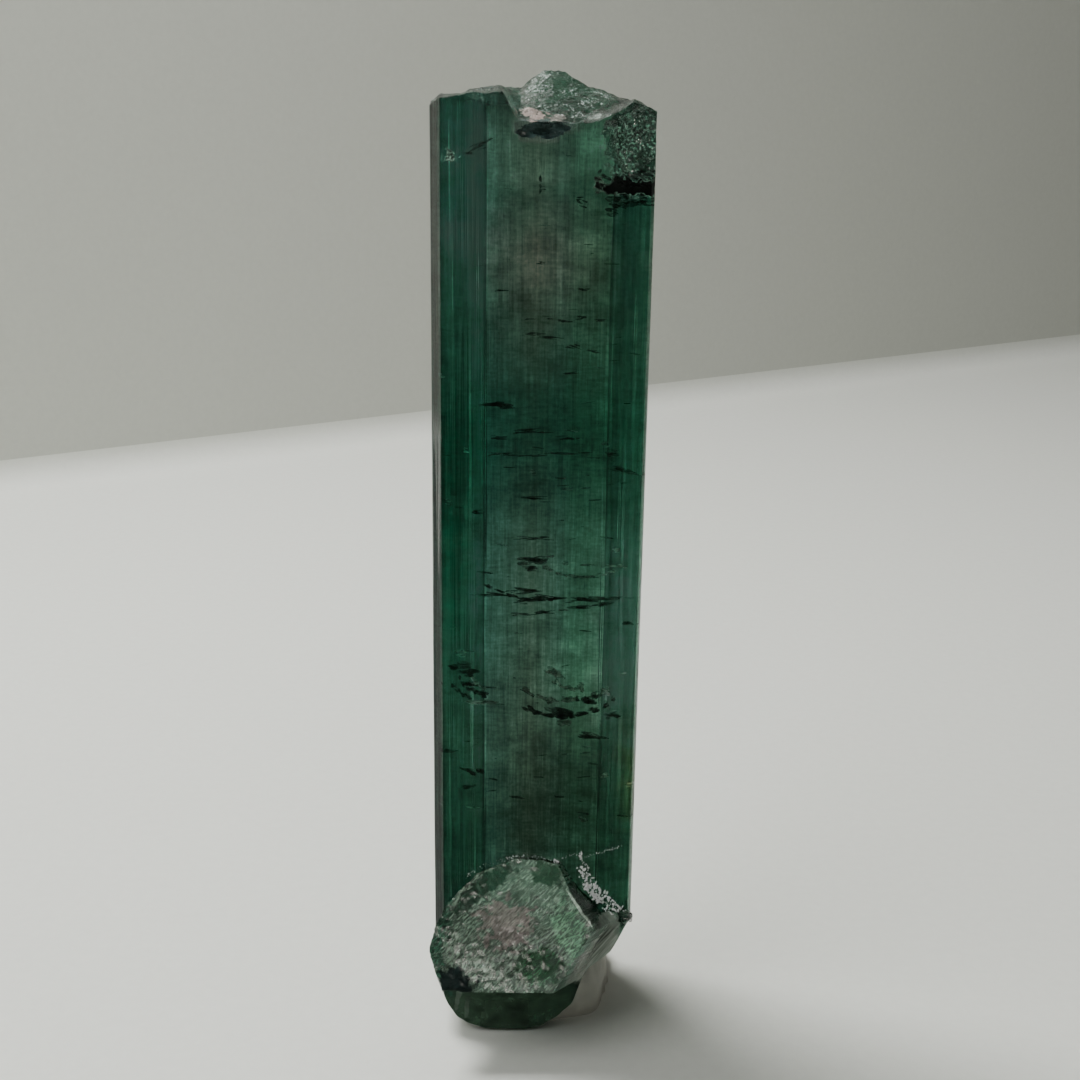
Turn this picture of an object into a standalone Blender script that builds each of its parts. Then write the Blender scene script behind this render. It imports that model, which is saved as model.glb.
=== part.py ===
"""A green tourmaline crystal held upright by a lump of mineral tack.

A tall striated prism with a broken, chipped top and a rounded break at its foot. A second, broken crystal
has grown across the front of the foot. Blender 4.5, metres, +Z up, +X to the specimen's right seen from
the front, which faces -Y. The origin is under the middle of the specimen, on the surface it stands on.
"""

import math

import bmesh
import bpy
from mathutils import Matrix, Vector, noise

MM = 0.001

# Driving dimensions of the prism. The broad front face is the plane y = 0 until the specimen is centred.
HEIGHT = 47.9 * MM
LEFT = -5.12 * MM
RIGHT = 4.86 * MM
DEPTH = 7.55 * MM
LEFT_BEVEL = 0.50 * MM
RIGHT_BEVEL = 0.16 * MM
LEFT_SIDE_END = 3.2 * MM
RIGHT_SIDE_END = 4.6 * MM
BACK_EDGES = (3.2 * MM, 0.5 * MM, -1.3 * MM, -2.75 * MM)
HEX_SLOPE = math.tan(math.radians(60))
SPARE = 3.0 * MM

# The growth lines: shallow vertical grooves, unevenly spaced, one side of each steeper than the other.
GROOVE_PITCH = 0.42 * MM
GROOVE_DEPTH = 0.035 * MM
GROOVE_WIDTH = 0.3
GROOVE_WANDER = 0.35

# Heights of the broken top along x: its crest, and the lower front lip where the chip has taken the edge.
CREST = ((-5.2, 46.40), (-4.73, 46.75), (-3.8, 46.78), (-3.4, 47.00), (-2.2, 47.12), (-1.15, 47.10),
         (-0.6, 47.65), (-0.07, 47.88), (0.85, 47.80), (1.4, 47.50), (1.93, 47.14), (3.1, 46.90), (3.9, 46.65),
         (4.87, 46.20))
CHIP_LIP = ((-1.95, 47.2), (-1.2, 45.85), (1.15, 45.75), (2.1, 45.9), (3.0, 46.2), (3.8, 46.65))
CHIP_REACH = 4.6 * MM
CHIP_CURVE = 1.5
BACK_FALL = 0.28

# Heights of the break under the foot along x. It rests where this is under REST_CUT.
FOOT = ((-5.3, 3.4), (-4.65, 2.1), (-4.45, 1.5), (-3.95, 0.75), (-3.4, 0.36), (-2.5, 0.08), (-0.5, 0.05),
        (0.4, 0.28), (1.28, 0.88), (2.0, 1.65), (2.3, 2.6), (2.6, 3.5), (3.0, 3.9), (3.95, 4.75),
        (4.6, 6.2), (5.3, 7.4))
REST_CUT = 0.14 * MM
FOOT_FRONT_ROUND = 0.9 * MM
FOOT_FRONT_RISE = 0.30 * MM
FOOT_BACK_START = 5.2 * MM
FOOT_BACK_RISE = 0.75

# Relief of a break: broad swells, and the smaller hackle on them.
SWELL_SIZE = 1.5 * MM
SWELL_HEIGHT = 0.16 * MM
HACKLE_SIZE = 0.42 * MM
HACKLE_HEIGHT = 0.07 * MM
BREAK_STEP = 0.36 * MM
PLAN_MIDDLE = 3.8 * MM
PLAN_BLOCK = (7.0 * MM, 7.5 * MM)

# Chips out of the prism's front, as (centre, radii).
LEDGE_CHIP = ((-0.08, -0.30, 45.50), (1.25, 0.72, 0.40))
CORNER_CHIP = ((4.15, -0.75, 45.10), (1.75, 1.45, 1.95))
CHIP_ROUGH = 0.22
LEFT_NICK = ((-5.15, 0.10, 8.20), (0.32, 0.40, 1.50))

# The side crystal: corners of its broken face as (x, z), anticlockwise from the left, on a plane that leans
# back as it rises, and the way the crystal runs from that face into the prism's foot.
SIDE_OUTLINE = ((-5.15, 5.70), (-4.95, 4.98), (-4.55, 4.18), (-3.35, 4.12), (-0.82, 4.10), (0.96, 4.13),
                (1.58, 4.95), (2.20, 6.00), (3.01, 7.00), (2.30, 8.09), (1.72, 8.78), (1.13, 10.00),
                (0.36, 10.17), (-0.92, 10.27), (-1.80, 9.96), (-2.94, 9.54), (-3.82, 8.71), (-4.44, 8.01),
                (-4.93, 7.19), (-5.14, 6.14))
SIDE_TOP = 10.3 * MM
SIDE_TOP_Y = -0.25 * MM
SIDE_LEAN = 0.40
SIDE_MIDDLE = (-1.0 * MM, 6.9 * MM)
SIDE_RUN = Vector((0.45, 0.85, -0.26))
SIDE_LENGTH = 3.5 * MM
SIDE_SPARE = 1.2 * MM
SIDE_GROOVE_PITCH = 0.5 * MM
SIDE_HACKLE = 0.11 * MM
SIDE_STEP = 0.34 * MM
SIDE_BOWL = 0.55 * MM
SIDE_BOWL_RADII = (3.4 * MM, 3.0 * MM)
SIDE_BLOCK = (6.4 * MM, 5.6 * MM, 7.0 * MM)

# Crumbs of crust along the seam between the two crystals, as (x, y, z, radius).
CRUMBS = ((1.15, 0.0, 9.95, 0.22), (1.75, 0.0, 9.45, 0.20), (2.25, 0.0, 10.30, 0.18), (2.30, 0.0, 9.90, 0.20),
          (2.45, 0.0, 8.85, 0.24), (2.95, 0.0, 8.25, 0.22), (3.45, 0.0, 7.75, 0.25), (3.90, 0.0, 7.25, 0.27),
          (4.45, 0.2, 6.85, 0.42), (-1.9, 0.0, 10.05, 0.17), (-1.2, 0.0, 10.3, 0.16), (0.3, 0.0, 10.3, 0.17))
CRUMB_ROUGH = 0.30

# The mineral tack: a soft lump pressed in behind and to the right of the foot.
TACK_CENTRE = Vector((0.75, 5.35, 0.4)) * MM
TACK_RADII = Vector((3.2, 4.3, 3.0)) * MM
TACK_SQUARENESS = 2.6
TACK_LUMPS = 0.34 * MM
TACK_LUMP_SIZE = 2.1 * MM
TACK_GAP = 0.3 * MM

# The middle of the whole specimen in plan, which is moved onto the origin at the end.
CENTRE = Vector((-0.13, 3.44, 0.0)) * MM

CRYSTAL_GREEN = (0.016, 0.085, 0.052, 1.0)
TACK_CREAM = (0.47, 0.44, 0.38, 1.0)


def along(points, x):
    """The height in metres at x, read off straight runs between points given in millimetres."""
    x /= MM
    if x <= points[0][0]:
        return points[0][1] * MM
    for (x0, z0), (x1, z1) in zip(points, points[1:]):
        if x <= x1:
            return (z0 + (z1 - z0) * (x - x0) / (x1 - x0)) * MM
    return points[-1][1] * MM


def hackle(point, seed, height):
    """Small sharp relief of a break, made of cells with flat sides."""
    place = point / HACKLE_SIZE + Vector((seed, 0.0, 0.0))
    return height * (noise.noise(place) + 0.5 * noise.noise(2.3 * place))


def swell(point, seed):
    """Broad rounded relief of a break."""
    return SWELL_HEIGHT * noise.noise(point / SWELL_SIZE + Vector((seed, 0.0, 0.0)))


def crest_at(x, y):
    """Height of the broken top: it falls to the chipped lip in front, and a little towards the back."""
    crest = along(CREST, x)
    lip = crest
    if CHIP_LIP[0][0] * MM < x < CHIP_LIP[-1][0] * MM:
        lip = min(crest, along(CHIP_LIP, x))
    rise = min(max(y / CHIP_REACH, 0.0), 1.0) ** CHIP_CURVE
    fall = BACK_FALL * max(y - CHIP_REACH, 0.0)
    place = Vector((x, y, 0.0))
    return lip + (crest - lip) * rise - fall + swell(place, 3.1) + hackle(place, 7.7, HACKLE_HEIGHT)


def foot_at(x, y):
    """Height of the underside: flat where it rests, rounded to the front, and rising at the back."""
    low = along(FOOT, x)
    front = FOOT_FRONT_RISE * max(1.0 - y / FOOT_FRONT_ROUND, 0.0) ** 2
    back = FOOT_BACK_RISE * max(y - FOOT_BACK_START, 0.0)
    place = Vector((x, y, 0.0))
    rough = max(low + back, 0.0) / (low + back + REST_CUT) * hackle(place, 1.9, HACKLE_HEIGHT)
    return max(low + front + back + rough - REST_CUT, 0.0)


def foot_below(x, y):
    """A surface that stays clear of the underside by the gap to the tack, in every direction."""
    steps = ((0, 0), (1, 0), (-1, 0), (0, 1), (0, -1))
    return min(foot_at(x + TACK_GAP * i, y + TACK_GAP * j) for i, j in steps) - TACK_GAP


def section(grow=0.0):
    """The prism's outline, anticlockwise from above, starting at the front left edge."""
    left, right, back = LEFT - grow, RIGHT + grow, DEPTH + grow
    left_end = LEFT_SIDE_END + grow / 2
    right_end = RIGHT_SIDE_END + grow / 2
    back_right, step_right, step_left, back_left = BACK_EDGES
    back_right += grow / 2
    back_left -= grow / 2
    return [
        Vector((left + LEFT_BEVEL, -grow)),
        Vector((right - RIGHT_BEVEL, -grow)),
        Vector((right, RIGHT_BEVEL * HEX_SLOPE - grow)),
        Vector((right, right_end)),
        Vector((back_right, right_end + (right - back_right) * HEX_SLOPE)),
        Vector((step_right, back)),
        Vector((step_left, back)),
        Vector((back_left, left_end + (back_left - left) * HEX_SLOPE)),
        Vector((left, left_end)),
        Vector((left, LEFT_BEVEL * HEX_SLOPE - grow)),
    ]


def grooved(outline, pitch):
    """An anticlockwise outline with growth lines cut into each side, uneven in width and depth."""
    points = []
    for i, start in enumerate(outline):
        side = outline[(i + 1) % len(outline)] - start
        way = side.normalized()
        inward = Vector((-way.y, way.x))
        count = round(side.length / pitch)
        points.append(start)
        for k in range(1, count):
            shift = GROOVE_WANDER * noise.noise(Vector((1.7 * i, 2.9 * k, 0.5)))
            deep = GROOVE_DEPTH * (0.5 + 2.0 * abs(noise.noise(Vector((3.3 * i, 1.3 * k, 9.5)))))
            at = start + side * ((k + shift) / count)
            points.append(at)
            points.append(at + way * (GROOVE_WIDTH * pitch) + inward * deep)
    return points


def new_object(name, mesh_data):
    """A mesh object from a bmesh, with every face turned outwards."""
    bmesh.ops.recalc_face_normals(mesh_data, faces=mesh_data.faces)
    mesh = bpy.data.meshes.new(name)
    mesh_data.to_mesh(mesh)
    mesh_data.free()
    made = bpy.data.objects.new(name, mesh)
    bpy.context.scene.collection.objects.link(made)
    return made


def column(name, outline, low, high):
    """The outline drawn up from low to high as a closed prism."""
    shape = bmesh.new()
    floor = shape.faces.new([shape.verts.new((p.x, p.y, low)) for p in outline])
    drawn = bmesh.ops.extrude_face_region(shape, geom=[floor])
    risen = [v for v in drawn["geom"] if isinstance(v, bmesh.types.BMVert)]
    bmesh.ops.translate(shape, verts=risen, vec=(0.0, 0.0, high - low))
    return new_object(name, shape)


def relief_block(name, frame, half_u, half_v, step, surface, far):
    """A closed block whose near side follows surface(u, v) and whose far side is flat, in a local frame."""
    columns = round(2 * half_u / step)
    rows = round(2 * half_v / step)
    shape = bmesh.new()
    near = []
    for j in range(rows + 1):
        v = -half_v + 2 * half_v * j / rows
        row = []
        for i in range(columns + 1):
            u = -half_u + 2 * half_u * i / columns
            row.append(shape.verts.new(frame @ Vector((u, v, surface(u, v)))))
        near.append(row)
    for j in range(rows):
        for i in range(columns):
            shape.faces.new((near[j][i], near[j][i + 1], near[j + 1][i + 1]))
            shape.faces.new((near[j][i], near[j + 1][i + 1], near[j + 1][i]))
    rim = [near[0][i] for i in range(columns + 1)]
    rim += [near[j][columns] for j in range(1, rows + 1)]
    rim += [near[rows][i] for i in range(columns - 1, -1, -1)]
    rim += [near[j][0] for j in range(rows - 1, 0, -1)]
    inverse = frame.inverted()
    base = []
    for vert in rim:
        local = inverse @ vert.co
        base.append(shape.verts.new(frame @ Vector((local.x, local.y, far))))
    for k, vert in enumerate(rim):
        after = (k + 1) % len(rim)
        shape.faces.new((vert, rim[after], base[after], base[k]))
    shape.faces.new(base)
    return new_object(name, shape)


def rough_ball(name, centre, radii, rough, detail, seed):
    """A closed lump: an ellipsoid whose surface is pushed in and out by noise."""
    shape = bmesh.new()
    bmesh.ops.create_icosphere(shape, subdivisions=detail, radius=1.0)
    for vert in shape.verts:
        way = vert.co.normalized()
        size = 1.0 + rough * noise.noise(way * 1.9 + Vector((seed, 0.0, 0.0)))
        vert.co = Vector(centre) + Vector(way[i] * radii[i] for i in range(3)) * size
    return new_object(name, shape)


def combine(target, tool, operation):
    """Joins or cuts target with tool, which stays in the file as a hidden wire shape."""
    tool.hide_render = True
    tool.display_type = "WIRE"
    step = target.modifiers.new(operation.title() + " " + tool.name, "BOOLEAN")
    step.operation = operation
    step.solver = "EXACT"
    step.object = tool


def finish(made, material_name, colour, roughness, transmission, ior):
    """Gives the object its own Principled material."""
    material = bpy.data.materials.new(material_name)
    material.use_nodes = True
    shader = material.node_tree.nodes["Principled BSDF"]
    shader.inputs["Base Color"].default_value = colour
    shader.inputs["Roughness"].default_value = roughness
    shader.inputs["Metallic"].default_value = 0.0
    shader.inputs["Transmission Weight"].default_value = transmission
    shader.inputs["IOR"].default_value = ior
    made.data.materials.append(material)


def in_mm(numbers):
    return Vector(numbers) * MM


def on_broken_face(x, z):
    """The point of the side crystal's broken face at x and z."""
    return Vector((x, SIDE_TOP_Y - SIDE_LEAN * (SIDE_TOP - z), z))


def side_crystal():
    """The crystal across the foot: its outline run back into the prism, and both of its ends broken."""
    run = SIDE_RUN.normalized()
    shape = bmesh.new()
    outline = grooved([Vector(corner) * MM for corner in SIDE_OUTLINE], SIDE_GROOVE_PITCH)
    end = shape.faces.new([shape.verts.new(on_broken_face(*corner) - run * SIDE_SPARE) for corner in outline])
    drawn = bmesh.ops.extrude_face_region(shape, geom=[end])
    far = [v for v in drawn["geom"] if isinstance(v, bmesh.types.BMVert)]
    bmesh.ops.translate(shape, verts=far, vec=run * (SIDE_LENGTH + 2 * SIDE_SPARE))
    body = new_object("side crystal", shape)

    out = Vector((0.0, -1.0, SIDE_LEAN)).normalized()
    up = Vector((0.0, SIDE_LEAN, 1.0)).normalized()
    turn = Matrix((up.cross(out), up, out)).transposed().to_4x4()
    front = Matrix.Translation(on_broken_face(*SIDE_MIDDLE)) @ turn
    back = Matrix.Translation(run * SIDE_LENGTH) @ front

    def front_break(u, v):
        place = Vector((u, v, 0.0))
        bowl = SIDE_BOWL * max(0.0, 1.0 - (u / SIDE_BOWL_RADII[0]) ** 2 - (v / SIDE_BOWL_RADII[1]) ** 2)
        return swell(place, 12.5) + hackle(place, 4.4, SIDE_HACKLE) - bowl

    def back_break(u, v):
        return 2 * swell(Vector((u, v, 0.0)), 17.5)

    half_u, half_v, far_out = SIDE_BLOCK
    near = relief_block("side crystal front break", front, half_u, half_v, SIDE_STEP, front_break, far_out)
    combine(body, near, "DIFFERENCE")
    rear = relief_block("side crystal back break", back, half_u, half_v, 3 * SIDE_STEP, back_break, -far_out)
    combine(body, rear, "DIFFERENCE")
    return body


def plan_block(name, surface, far):
    """A block over the whole plan of the prism, whose near side is a height read at each x and y."""
    level = Matrix.Translation(Vector((0.0, PLAN_MIDDLE, 0.0)))
    half_x, half_y = PLAN_BLOCK
    return relief_block(name, level, half_x, half_y, BREAK_STEP, lambda x, y: surface(x, y + PLAN_MIDDLE), far)


def tourmaline():
    """The whole crystal as one solid."""
    crystal = column("tourmaline_crystal", grooved(section(), GROOVE_PITCH), -SPARE, HEIGHT + SPARE)
    combine(crystal, plan_block("top break", crest_at, HEIGHT + 2 * SPARE), "DIFFERENCE")
    combine(crystal, plan_block("foot break", foot_at, -2 * SPARE), "DIFFERENCE")
    chips = (("ledge chip", LEDGE_CHIP, 3), ("corner chip", CORNER_CHIP, 4), ("left nick", LEFT_NICK, 2))
    for seed, (name, (centre, radii), detail) in enumerate(chips):
        chip = rough_ball(name, in_mm(centre), in_mm(radii), CHIP_ROUGH, detail, seed)
        combine(crystal, chip, "DIFFERENCE")
    combine(crystal, side_crystal(), "UNION")
    for k, (x, y, z, radius) in enumerate(CRUMBS):
        lump = rough_ball(f"crumb {k}", in_mm((x, y, z)), in_mm((radius, radius, radius)), CRUMB_ROUGH, 2, k)
        combine(crystal, lump, "UNION")
    finish(crystal, "green tourmaline", CRYSTAL_GREEN, 0.08, 0.9, 1.63)
    return crystal


def tack():
    """The lump of tack, flat under, with a pocket that follows the foot of the crystal."""
    shape = bmesh.new()
    bmesh.ops.create_icosphere(shape, subdivisions=4, radius=1.0)
    for vert in shape.verts:
        way = vert.co.normalized()
        round_by = sum(abs(part) ** TACK_SQUARENESS for part in way) ** (1.0 / TACK_SQUARENESS)
        place = TACK_CENTRE + Vector(way[i] * TACK_RADII[i] for i in range(3)) / round_by
        vert.co = place + way * TACK_LUMPS * noise.noise(place / TACK_LUMP_SIZE + Vector((0.0, 21.0, 0.0)))
    lump = new_object("mineral_tack", shape)
    combine(lump, plan_block("surface it stands on", lambda x, y: 0.0, -3 * SPARE), "DIFFERENCE")

    pocket = column("pocket", section(TACK_GAP), -SPARE, HEIGHT)
    combine(pocket, plan_block("pocket floor", foot_below, -2 * SPARE), "DIFFERENCE")
    combine(lump, pocket, "DIFFERENCE")
    finish(lump, "mineral tack", TACK_CREAM, 0.75, 0.0, 1.45)
    return lump


def stand_on_origin(objects):
    """Puts every object on one empty, which brings the middle of the specimen over the origin."""
    stand = bpy.data.objects.new("specimen", None)
    bpy.context.scene.collection.objects.link(stand)
    stand.location = -CENTRE
    for made in objects:
        made.parent = stand


for leftover in list(bpy.data.objects):
    bpy.data.objects.remove(leftover)
tourmaline()
tack()
stand_on_origin(list(bpy.data.objects))
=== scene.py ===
"""A green tourmaline crystal held upright by a lump of mineral tack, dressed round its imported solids.

Metres, +Z up, +X to the specimen's right seen from the front, which faces -Y. While it is made, the broad
front face of the prism is the plane y = 0. Each finished mesh is then moved back by CENTRE into the frame.
"""

import math

import bmesh
import bpy
import numpy as np
from mathutils import Matrix, Vector, noise


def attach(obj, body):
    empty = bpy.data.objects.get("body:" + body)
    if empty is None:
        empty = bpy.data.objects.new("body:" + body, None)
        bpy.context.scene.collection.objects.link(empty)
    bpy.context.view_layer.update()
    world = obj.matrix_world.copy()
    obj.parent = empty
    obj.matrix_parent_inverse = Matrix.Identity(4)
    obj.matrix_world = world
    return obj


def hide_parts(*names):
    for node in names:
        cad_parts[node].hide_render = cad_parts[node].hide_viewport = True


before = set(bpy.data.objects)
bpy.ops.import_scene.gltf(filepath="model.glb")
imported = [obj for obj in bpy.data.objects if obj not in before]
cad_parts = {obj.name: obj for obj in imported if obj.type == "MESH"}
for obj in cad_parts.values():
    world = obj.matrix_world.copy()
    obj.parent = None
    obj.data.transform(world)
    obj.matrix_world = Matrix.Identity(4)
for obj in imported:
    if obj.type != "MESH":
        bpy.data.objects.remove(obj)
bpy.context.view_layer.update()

MM = 0.001
CENTRE = Vector((-0.13, 3.44, 0.0)) * MM

# ---- The prism ----
# One long crystal of elbaite tourmaline, grown free in a pocket of hot fluid. Its side faces carry growth
# lines: shallow ribs along its whole length, uneven in width, like the edge of a pack of cards.

HEIGHT = 47.9 * MM
LEFT, RIGHT, DEPTH = -5.12 * MM, 4.86 * MM, 7.55 * MM
LEFT_BEVEL, RIGHT_BEVEL = 0.50 * MM, 0.16 * MM
LEFT_SIDE_END, RIGHT_SIDE_END = 3.2 * MM, 4.6 * MM
BACK_EDGES = (3.2 * MM, 0.5 * MM, -1.3 * MM, -2.75 * MM)
HEX_SLOPE = math.tan(math.radians(60))
SPARE = 3.0 * MM
RIB_STEP = (0.35, 0.65)
RIB_OFFSET, LINE_OFFSET = 3.0, 60.0


def section(grow=0.0):
    """The prism's outline, anticlockwise from above, starting at the front left edge."""
    left, right, back = LEFT - grow, RIGHT + grow, DEPTH + grow
    left_end = LEFT_SIDE_END + grow / 2
    right_end = RIGHT_SIDE_END + grow / 2
    back_right, step_right, step_left, back_left = BACK_EDGES
    back_right += grow / 2
    back_left -= grow / 2
    return [
        Vector((left + LEFT_BEVEL, -grow)),
        Vector((right - RIGHT_BEVEL, -grow)),
        Vector((right, RIGHT_BEVEL * HEX_SLOPE - grow)),
        Vector((right, right_end)),
        Vector((back_right, right_end + (right - back_right) * HEX_SLOPE)),
        Vector((step_right, back)),
        Vector((step_left, back)),
        Vector((back_left, left_end + (back_left - left) * HEX_SLOPE)),
        Vector((left, left_end)),
        Vector((left, LEFT_BEVEL * HEX_SLOPE - grow)),
    ]


def feed(tree, node, values):
    """Gives a node's inputs a value or a link each, by name, or in the order of those in use."""
    if isinstance(values, dict):
        pairs = [(node.inputs[name], value) for name, value in values.items()]
    else:
        pairs = zip([socket for socket in node.inputs if socket.enabled], values)
    for socket, value in pairs:
        if isinstance(value, bpy.types.Node):
            value = next(output for output in value.outputs if output.enabled)
        if isinstance(value, bpy.types.NodeSocket):
            tree.links.new(value, socket)
        else:
            socket.default_value = value


def add(tree, kind, values=(), **settings):
    """Adds a node with its own settings and feeds it."""
    made = tree.nodes.new(kind)
    made.location.x = 190 * (len(tree.nodes) % 24)
    made.location.y = -260 * (len(tree.nodes) // 24)
    for name, value in settings.items():
        setattr(made, name, value)
    feed(tree, made, values)
    return made


def new_tree(name, **inputs):
    """A geometry tree with inputs named by type, besides its material, and the sockets they arrive at."""
    tree = bpy.data.node_groups.new(name, "GeometryNodeTree")
    for way in ("INPUT", "OUTPUT"):
        tree.interface.new_socket("Geometry", in_out=way, socket_type="NodeSocketGeometry")
    for kind, labels in (*inputs.items(), ("Material", ["Material"])):
        for label in labels:
            tree.interface.new_socket(label, in_out="INPUT", socket_type="NodeSocket" + kind)
    return tree, add(tree, "NodeGroupInput").outputs


def close_tree(tree, given, geometry):
    """Ends a tree: real geometry in place of instances, in its material."""
    real = add(tree, "GeometryNodeRealizeInstances", [geometry])
    dressed = add(tree, "GeometryNodeSetMaterial", {"Geometry": real, "Material": given["Material"]})
    add(tree, "NodeGroupOutput", [dressed])
    return tree


def new_object(name, mesh):
    made = bpy.data.objects.new(name, mesh)
    bpy.context.scene.collection.objects.link(made)
    return made


def settle(made):
    """Replaces an object's mesh by what its modifiers make of it, and takes the modifiers away."""
    graph = bpy.context.evaluated_depsgraph_get()
    mesh = bpy.data.meshes.new_from_object(made.evaluated_get(graph))
    made.modifiers.clear()
    made.data = mesh
    return made


def grown(name, mesh, tree, values):
    """The plain mesh that a geometry tree makes from a starting mesh, with a value for each named input."""
    made = new_object(name, mesh)
    modifier = made.modifiers.new(tree.name, "NODES")
    modifier.node_group = tree
    for socket in tree.interface.items_tree:
        if socket.name in values:
            modifier[socket.identifier] = values[socket.name]
    return settle(made)


def plain_mesh(name, points, edges=(), faces=()):
    mesh = bpy.data.meshes.new(name)
    mesh.from_pydata(points, edges, faces)
    return mesh


def ribbed_prism_tree():
    """A tube whose every ring follows the outline, pushed in by ribs and finer lines up its length."""
    tree, given = new_tree("ribbed prism", Int=["Around", "Rings"], Float=[
        "Low", "High", "Rib pitch", "Rib depth", "Line pitch", "Line depth", "Rib run", "Back", "Front share",
        "Back share"])
    outline = add(tree, "GeometryNodeMeshToCurve", [given["Geometry"]])
    tube = add(tree, "GeometryNodeMeshCylinder", {
        "Vertices": given["Around"], "Side Segments": given["Rings"], "Radius": 1.0, "Depth": 1.0},
        fill_type="NGON")
    x, y, z = add(tree, "ShaderNodeSeparateXYZ", [add(tree, "GeometryNodeInputPosition")]).outputs
    angle = add(tree, "ShaderNodeMath", [y, x], operation="ARCTAN2")
    turns = add(tree, "ShaderNodeMath", [angle, math.tau], operation="DIVIDE")
    share = add(tree, "ShaderNodeMath", [turns], operation="FRACT")
    rim = add(tree, "GeometryNodeSampleCurve", {"Curves": outline, "Factor": share}, mode="FACTOR").outputs
    length = add(tree, "GeometryNodeCurveLength", [outline])
    run = add(tree, "ShaderNodeMath", [share, length], operation="MULTIPLY")
    height = add(tree, "ShaderNodeMapRange", [z, -0.5, 0.5, given["Low"], given["High"]])
    slow = add(tree, "ShaderNodeMath", [height, given["Rib run"]], operation="DIVIDE")
    pushes = []
    for kind, offset in (("Rib", RIB_OFFSET), ("Line", LINE_OFFSET)):
        across = add(tree, "ShaderNodeMath", [run, given[kind + " pitch"]], operation="DIVIDE")
        spot = add(tree, "ShaderNodeCombineXYZ", [across, offset, slow])
        waves = add(tree, "ShaderNodeTexNoise", [spot, 1.0, 1.0])
        pushes.append(add(tree, "ShaderNodeMapRange", [waves, *RIB_STEP, 0.0, given[kind + " depth"]]))
    both = add(tree, "ShaderNodeMath", pushes, operation="ADD")
    away = add(tree, "ShaderNodeSeparateXYZ", [rim["Position"]]).outputs[1]
    share_here = add(tree, "ShaderNodeMapRange", [
        away, 0.0, given["Back"], given["Front share"], given["Back share"]])
    push = add(tree, "ShaderNodeMath", [both, share_here], operation="MULTIPLY")
    inward = add(tree, "ShaderNodeVectorMath", [(0.0, 0.0, 1.0), rim["Tangent"]], operation="CROSS_PRODUCT")
    deep = add(tree, "ShaderNodeVectorMath", [inward, push], operation="SCALE")
    flat = add(tree, "ShaderNodeVectorMath", [rim["Position"], deep], operation="ADD")
    up = add(tree, "ShaderNodeCombineXYZ", {"Z": height})
    spot = add(tree, "ShaderNodeVectorMath", [flat, up], operation="ADD")
    shaped = add(tree, "GeometryNodeSetPosition", {"Geometry": tube, "Position": spot})
    return close_tree(tree, given, shaped)


def linear(code):
    """An sRGB hex colour as linear RGBA."""
    shares = [int(code[k:k + 2], 16) / 255 for k in (1, 3, 5)]
    return tuple(s / 12.92 if s <= 0.04045 else ((s + 0.055) / 1.055) ** 2.4 for s in shares) + (1.0,)


def new_material(name):
    """An empty node material, its tree, its Principled shader and the place on the object."""
    material = bpy.data.materials.new(name)
    material.use_nodes = True
    tree = material.node_tree
    return material, tree, tree.nodes["Principled BSDF"], add(tree, "ShaderNodeTexCoord").outputs["Object"]


# Elbaite, the lithium tourmaline: glassy, IOR 1.62 to 1.64 and a weak, pale powder colour, so that the green
# lies in its depth. Iron and manganese came and went as it grew, which leaves bluish, greyish-pink and olive
# columns side by side and faint bands across. Growth faces are glossy with fine lines; breaks are paler.
ELBAITE_IOR = 1.63
ELBAITE_DEPTH_COLOUR = linear("#34AA9C")
ELBAITE_DENSITY = 215.0
CLEAREST = 0.995
COLUMN_STOPS = (
    # The two darkest stops, at the left edge, are painted shade on the left bevel, which mirrors the bright
    # table.
    (-5.2, "#1C2D26"), (-4.75, "#1C2D26"), (-4.5, "#78B09C"), (-3.6, "#7AB09C"), (-3.2, "#B0E0C8"),
    (-2.72, "#B0E0C8"), (-2.66, "#6A7A74"), (-0.4, "#74726A"), (0.9, "#6C746C"), (1.6, "#667669"),
    (3.10, "#657768"), (3.16, "#ACCCB6"), (4.2, "#B4D2BC"), (5.0, "#BADABF"))
# Clouds inside, each with soft edges: (x, height), half widths, and the gain, as twice its linear colour.
CLOUDS = (
    ((4.1, 40.0), (1.5, 5.4), "#5C706E"), ((0.4, 39.8), (3.4, 2.6), "#EACFD8"),
    ((-3.8, 40.9), (1.6, 1.8), "#FFEAF4"), ((0.2, 31.5), (3.4, 2.2), "#A2AAA8"),
    ((-4.25, 25.8), (0.85, 6.0), "#6AB2A0"), ((0.6, 12.0), (3.4, 4.6), "#928C89"),
    ((4.7, 14.2), (0.8, 2.2), "#CCB898"), ((4.0, 21.0), (1.4, 7.5), "#ECD2DE"),
    ((-3.4, 30.0), (1.4, 3.0), "#9AB6B4"), ((-3.7, 15.0), (1.5, 3.8), "#DACFD0"),
    ((2.4, 45.0), (1.1, 1.5), "#FFFFFF"), ((-2.0, 44.4), (2.6, 2.0), "#E4E0DE"),
    ((-1.4, 18.6), (1.7, 3.2), "#AEAEAE"), ((1.5, 19.0), (2.2, 1.9), "#E6E6E4"),
)
# Zones along the length, at heights in millimetres: how much of each colour the growth there lets by.
ZONE_STOPS = ((4.0, "#97A9A2"), (11.0, "#97A9A2"), (14.0, "#A9B2AD"), (17.0, "#BDC0BC"), (22.0, "#C6D6D2"),
              (25.5, "#BECECB"), (28.8, "#89ABA5"), (32.5, "#84BEB4"), (36.0, "#D0DDD9"), (39.7, "#FFFAF6"),
              (42.5, "#EFFFFD"), (47.0, "#F5FFFF"))
ZONE_GAIN = 2.25
BREAK_COLOUR, SUGAR_COLOUR, VEIN_AND_GLINT_COLOUR = linear("#2E4A3B"), linear("#8FA693"), linear("#D5E2DA")
WISP_SHARE = 0.72
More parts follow.
